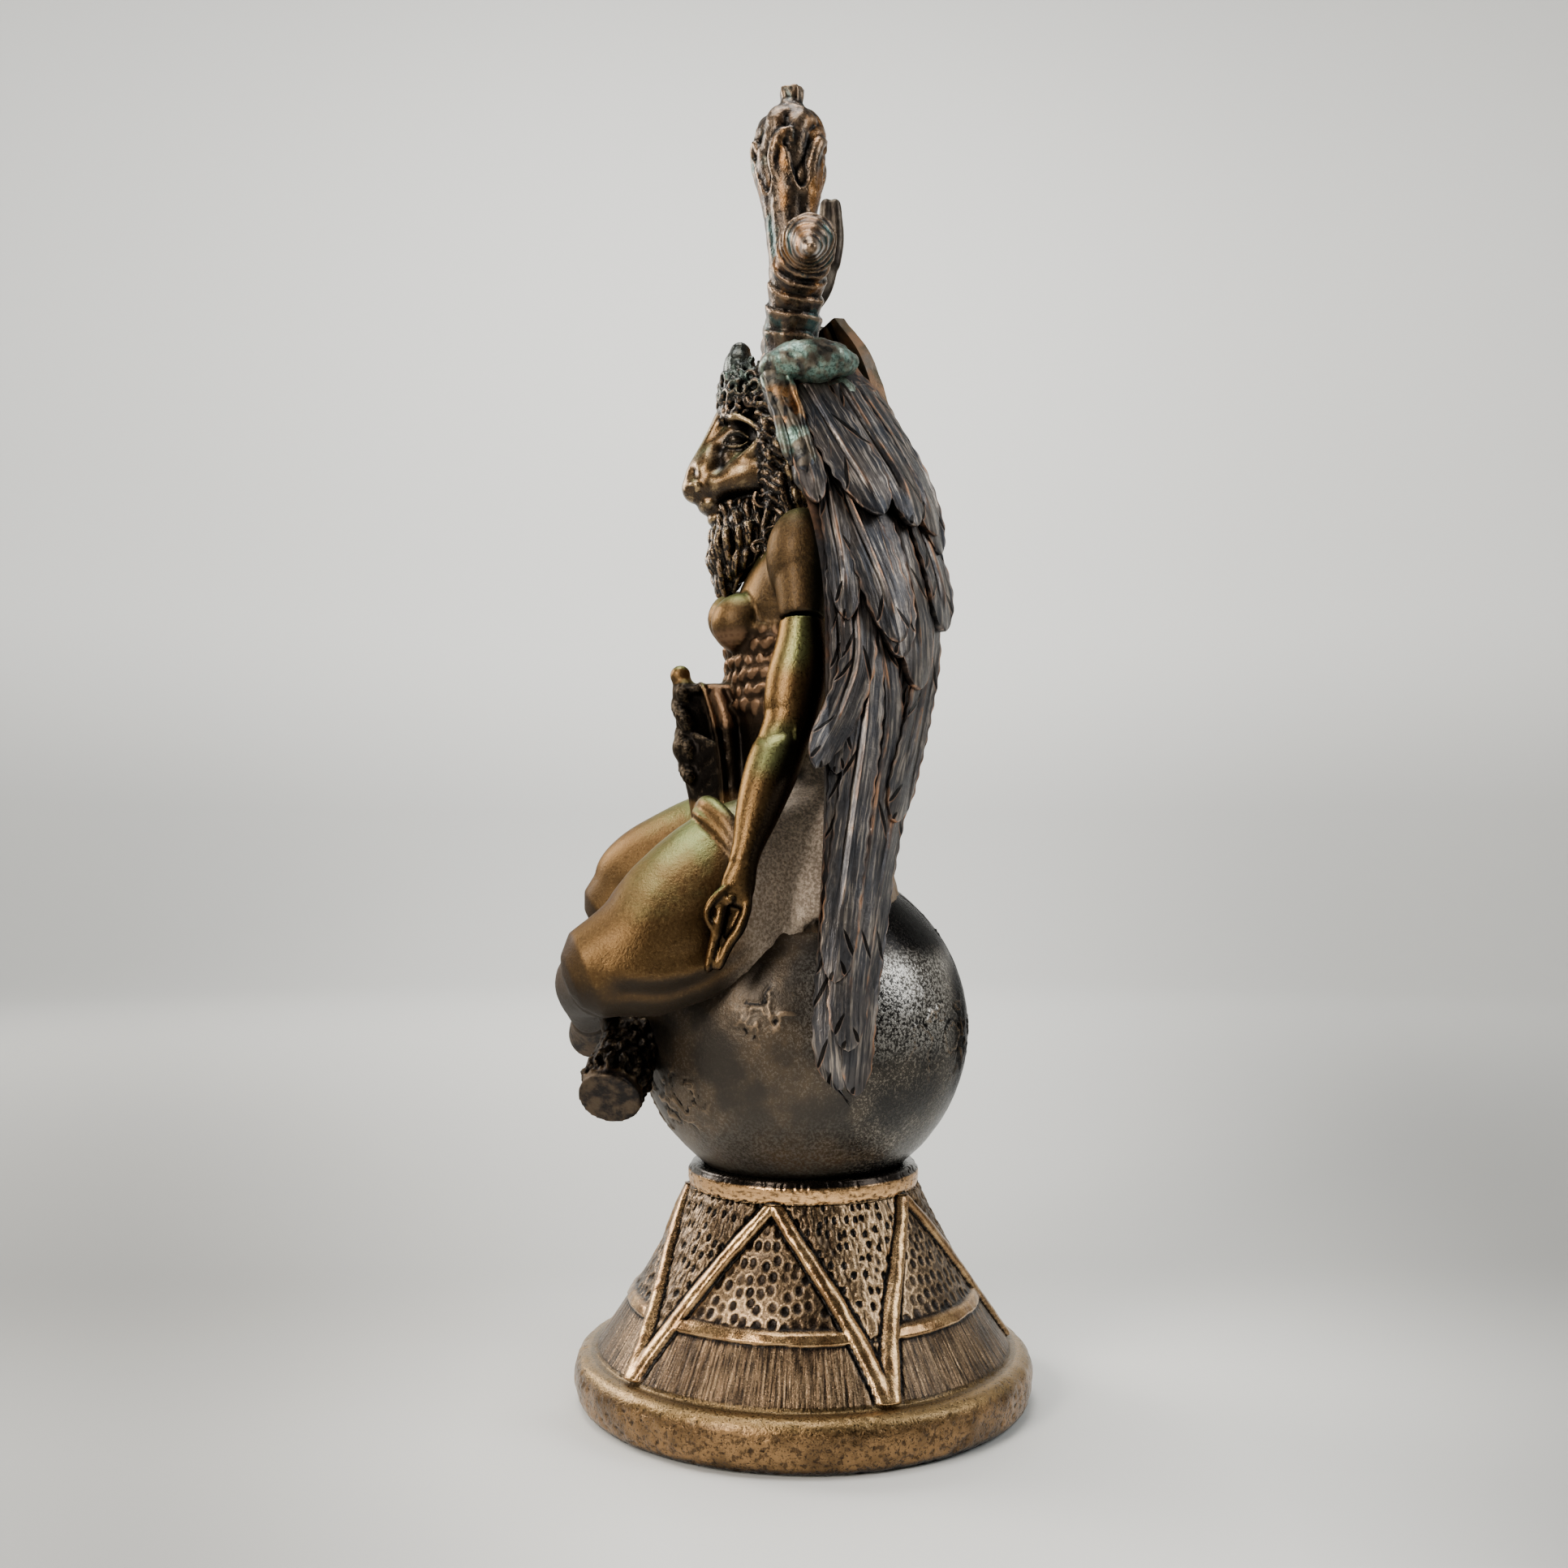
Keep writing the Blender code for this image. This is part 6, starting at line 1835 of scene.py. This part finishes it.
def plinth_finish():
    """Copper-rubbed ribs over dark, closely worked panels."""
    f = Finish("worked drum")
    unrolled = f.kept("unrolled", "Vector")
    grain = f.noise(0.0004, 2.0, 0.7)
    blotch = f.noise(0.006, 4.0)
    patch = f.noise(0.0075, 2.0, 0.5, unrolled)
    combing = f.noise(0.00030, 2.0, 0.6, f.stretch((1.0, 0.07, 1.0), unrolled))
    scratch = f.noise(0.00055, 3.0, 0.6, f.stretch((0.22, 1.0, 1.0), unrolled))
    joint = f.span(f.apart(f.z, RIM_HEIGHT), 0.0006, 0.0018, 0.55, 0.0)
    recess = f.most(f.above(0.26, 0.54), joint)
    proud = f.proud(0.50, 0.85)
    # Painted light: the rubbed wear is painted brighter over one pointed panel and the low left of its
    # neighbour
    pointed = f.span(f.apart(f.y, 0.0105), 0.0035, 0.0085, 1.0, 0.0)
    low_left = f.times(f.span(f.apart(f.y, -0.0115), 0.003, 0.009, 1.0, 0.0),
                       f.span(f.z, 0.66 * PLINTH_HEIGHT, 0.52 * PLINTH_HEIGHT))
    painted_light_panels = f.span(f.most(f.times(pointed, 1.35), low_left), 0.0, 1.35, 0.34, 1.45)
    combed = f.kept("combed")
    edges = f.plus(proud, f.span(recess, 0.5, 1.0, 0.0, 0.35))
    worn = f.plus(f.times(edges, f.span(patch, 0.38, 0.62, 0.45, 1.0), f.between(combed, 1.0, 0.0), painted_light_panels),
                  f.times(combed, edges, f.span(patch, 0.38, 0.62, 0.30, 1.0)))
    panel = f.mix(f.times(worn, f.between(combed, 1.0, 0.45)), (0.034, 0.020, 0.011), (0.68, 0.45, 0.245))
    crest = f.times(combed, f.span(combing, 0.48, 0.66, 0.0, 0.85), f.span(patch, 0.36, 0.60, 0.45, 1.0))
    panel = f.mix(crest, panel, (0.30, 0.185, 0.100))
    panel = f.mix(f.times(combed, f.span(combing, 0.34, 0.48, 0.85, 0.0)), panel, (0.014, 0.009, 0.006))
    # The panels darken into the ribs around them, as painted shade from the occlusion
    corner = f.times(f.open_air(0.008, 0.60, 0.86, 0.80, 0.0), f.between(combed, 1.0, 0.3))
    panel = f.mix(corner, panel, (0.022, 0.014, 0.008))
    smooth = f.mix(f.span(blotch, 0.38, 0.62), (0.125, 0.072, 0.031), (0.27, 0.155, 0.066))
    # Painted highlight: the upper part of the rim is painted lighter gold
    top = f.span(f.z, RIM_HEIGHT - 0.0022, RIM_HEIGHT - 0.0008)
    smooth = f.mix(f.times(top, 0.6), smooth, (0.36, 0.235, 0.095))
    hammer = f.noise(0.0010, 3.0, 0.6)
    below_top = f.span(f.z, RIM_HEIGHT - 0.0012, RIM_HEIGHT - 0.0030)
    pits = f.times(f.span(hammer, 0.36, 0.48, 0.75, 0.0), below_top)
    smooth = f.mix(f.most(pits, f.span(grain, 0.34, 0.46, 0.8, 0.0)), smooth, (0.030, 0.018, 0.009))
    collar = f.span(f.z, PLINTH_HEIGHT - COLLAR_HEIGHT, PLINTH_HEIGHT - COLLAR_HEIGHT + 0.0003)
    band = f.mix(f.span(scratch, 0.34, 0.50, 0.85, 0.0), (0.74, 0.43, 0.19), (0.050, 0.028, 0.014))
    upper = f.span(f.z, PLINTH_HEIGHT - 0.0014, PLINTH_HEIGHT - 0.0010)
    band = f.mix(upper, band, (0.020, 0.014, 0.010))
    colour = f.mix(f.kept("drum"), f.mix(collar, smooth, band), panel)
    rib = f.mix(f.span(f.noise(0.0035, 3.0), 0.38, 0.60), (0.29, 0.160, 0.068), (0.58, 0.360, 0.165))
    rib = f.mix(f.span(scratch, 0.34, 0.46, 0.4, 0.0), rib, (0.10, 0.055, 0.028))
    colour = f.mix(f.kept("rib"), colour, rib)
    open_air = f.most(f.open_air(0.0025, 0.25, 0.80), f.times(joint, 1.4))
    # Hollows go dark: partly dark patina, partly painted shade from the occlusion
    colour = f.mix(f.times(recess, open_air), DARK, colour)
    fine = f.times(grain, f.between(f.most(f.kept("rib"), collar), 1.0, 0.35))
    f.bumps(f.plus(fine, f.times(combed, combing, 1.6), f.times(pits, -1.5)), 0.00012)
    polish = f.plus(f.times(f.kept("rib"), 0.07), f.times(collar, 0.08))
    return f.finish(colour, f.minus(f.span(grain, 0.3, 0.8, 0.25, 0.42), polish), 0.92, coat=0.1)


# Floor, light and camera

def sweep_finish():
    """Pale paper painted with light and shade: brightest behind the piece, dimmer to the sides, darker behind
    the plinth and dark beyond the front.
    """
    f = Finish("pale sweep")
    # Painted falloff of light: dimmer off the axis, in a pool that widens toward the back
    depth = f.most(f.minus(0.35, f.x), 0.05)
    off_axis = f.apart(f.y, 0.020)
    aside = f.span(f.math("DIVIDE", off_axis, depth), 0.06, 0.42, 1.06, 0.46)
    # Painted dark room beyond the front, which the metal reflects
    room = f.span(f.x, 0.30, 0.85, 1.0, 0.16)
    # Painted shade on the floor from the plinth back, painted light in front of it
    near = f.span(f.x, -0.09, 0.03, 0.74, 1.30)
    # Painted light on the far wall behind the piece
    far = f.times(f.span(f.x, -0.90, -0.05, 1.0, 0.0), f.span(f.z, 0.0, 0.45, 0.60, 1.0))
    spread = f.plus(aside, f.times(f.minus(1.06, aside), far, 0.8))
    pale = f.times(spread, room, f.most(near, far), 0.80)
    colour = f.mix(pale, (0.0, 0.0, 0.0), (0.86, 0.86, 0.83))
    return f.finish(colour, 0.7, 0.0)


FLOOR_RADIUS = 1.1
WALL_CURVE = 0.6
WALL_TOP = 2.2


def build_stage():
    """A pale sweep: a round floor that curves up into a wall all around."""
    profile = [(0.001, 0.0), (0.5, 0.0), (FLOOR_RADIUS, 0.0)]
    curve_steps = 12
    for k in range(1, curve_steps + 1):
        turn = 0.5 * math.pi * k / curve_steps
        profile.append((FLOOR_RADIUS + WALL_CURVE * math.sin(turn), WALL_CURVE * (1.0 - math.cos(turn))))
    profile.append((FLOOR_RADIUS + WALL_CURVE, WALL_TOP))
    turns = full_turn(96)
    bm = bmesh.new()
    rings = [[bm.verts.new((r * math.cos(t), r * math.sin(t), z)) for t in turns] for r, z in profile]
    for lower, upper in zip(rings, rings[1:]):
        for i in range(len(turns)):
            j = (i + 1) % len(turns)
            bm.faces.new((lower[i], lower[j], upper[j], upper[i]))
    bm.faces.new(rings[0])
    mesh = bpy.data.meshes.new("pale_sweep")
    bm.to_mesh(mesh)
    bm.free()
    mesh.shade_smooth()
    mesh.materials.append(sweep_finish())
    new_object("pale_sweep", mesh)


def add_light(name, place, target, size, power, colour):
    data = bpy.data.lights.new(name, "AREA")
    data.shape = "RECTANGLE"
    data.size, data.size_y = size
    data.energy = power
    data.color = colour
    light = new_object(name, data)
    light.location = place
    light.rotation_mode = "QUATERNION"
    light.rotation_quaternion = (Vector(target) - Vector(place)).to_track_quat("-Z", "Y")
    light.visible_camera = False


def build_lights():
    """A warm softbox at the left of the camera, one behind it, a top light and a tall window at the right."""
    middle = (0.0, 0.0, 0.12)
    add_light("high_soft", (0.02, -0.12, 0.95), middle, (0.5, 0.5), 7.0, (1.0, 0.99, 0.96))
    add_light("key_left", (0.60, -0.55, 0.44), middle, (0.22, 0.42), 6.0, (1.0, 0.93, 0.84))
    add_light("rear_left", (-0.40, -0.72, 0.50), middle, (0.35, 0.40), 7.0, (1.0, 0.95, 0.88))
    add_light("window_right", (0.20, 0.62, 0.53), middle, (0.26, 0.50), 2.6, (0.95, 0.98, 1.0))
    add_light("backdrop", (-0.55, 0.0, 1.10), (-1.6, 0.0, 0.45), (0.9, 0.5), 30.0, (1.0, 0.99, 0.97))
    world = bpy.data.worlds.new("soft room")
    world.use_nodes = True
    back = world.node_tree.nodes["Background"]
    back.inputs["Color"].default_value = (0.85, 0.87, 0.88, 1.0)
    back.inputs["Strength"].default_value = 0.08
    bpy.context.scene.world = world


def build_camera():
    """A phone held close and level with the globe, a little toward the figure's front, tipped up."""
    azimuth, pitch = math.radians(87.0), 0.07
    distance, aside, height = 0.26895, -0.00346, 0.0908
    toward = Vector((math.sin(azimuth), -math.cos(azimuth), 0.0))
    right = Vector((math.cos(azimuth), math.sin(azimuth), 0.0))
    data = bpy.data.cameras.new("camera")
    data.sensor_width = 36.0
    data.lens = 33.28
    data.clip_start = 0.01
    camera = new_object("camera", data)
    camera.location = toward * distance + right * aside + Vector((0.0, 0.0, height))
    look = -toward * math.cos(pitch) + Vector((0.0, 0.0, math.sin(pitch)))
    camera.rotation_mode = "QUATERNION"
    camera.rotation_quaternion = look.to_track_quat("-Z", "Y")
    bpy.context.scene.camera = camera


def settle_piece(obj, finish, node):
    obj.data.materials.clear()
    obj.data.materials.append(finish)
    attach(obj, "root")
    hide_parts(node)


def main():
    settle_piece(build_plinth(), plinth_finish(), "plinth")
    settle_piece(build_globe(), globe_finish(), "globe")
    settle_piece(build_body(), body_finish(), "figure")
    settle_piece(build_head(), head_finish(), "figure")
    settle_piece(build_horns_torch(), torch_finish(), "figure")
    slate = wing_finish("blackened wing", SLATE, (0.088, 0.074, 0.066))
    left = build_wing("wing_left", side=1.0, lift=0.0, density=2.25)
    settle_piece(left, slate, "figure")
    olive = wing_finish("olive wing", (0.075, 0.066, 0.042), (0.155, 0.125, 0.080))
    right = build_wing("wing_right", side=-1.0, lift=19.0, density=1.7)
    settle_piece(right, olive, "figure")
    settle_piece(build_arm(), arm_finish(), "left_arm")
    build_stage()
    build_lights()
    build_camera()


main()
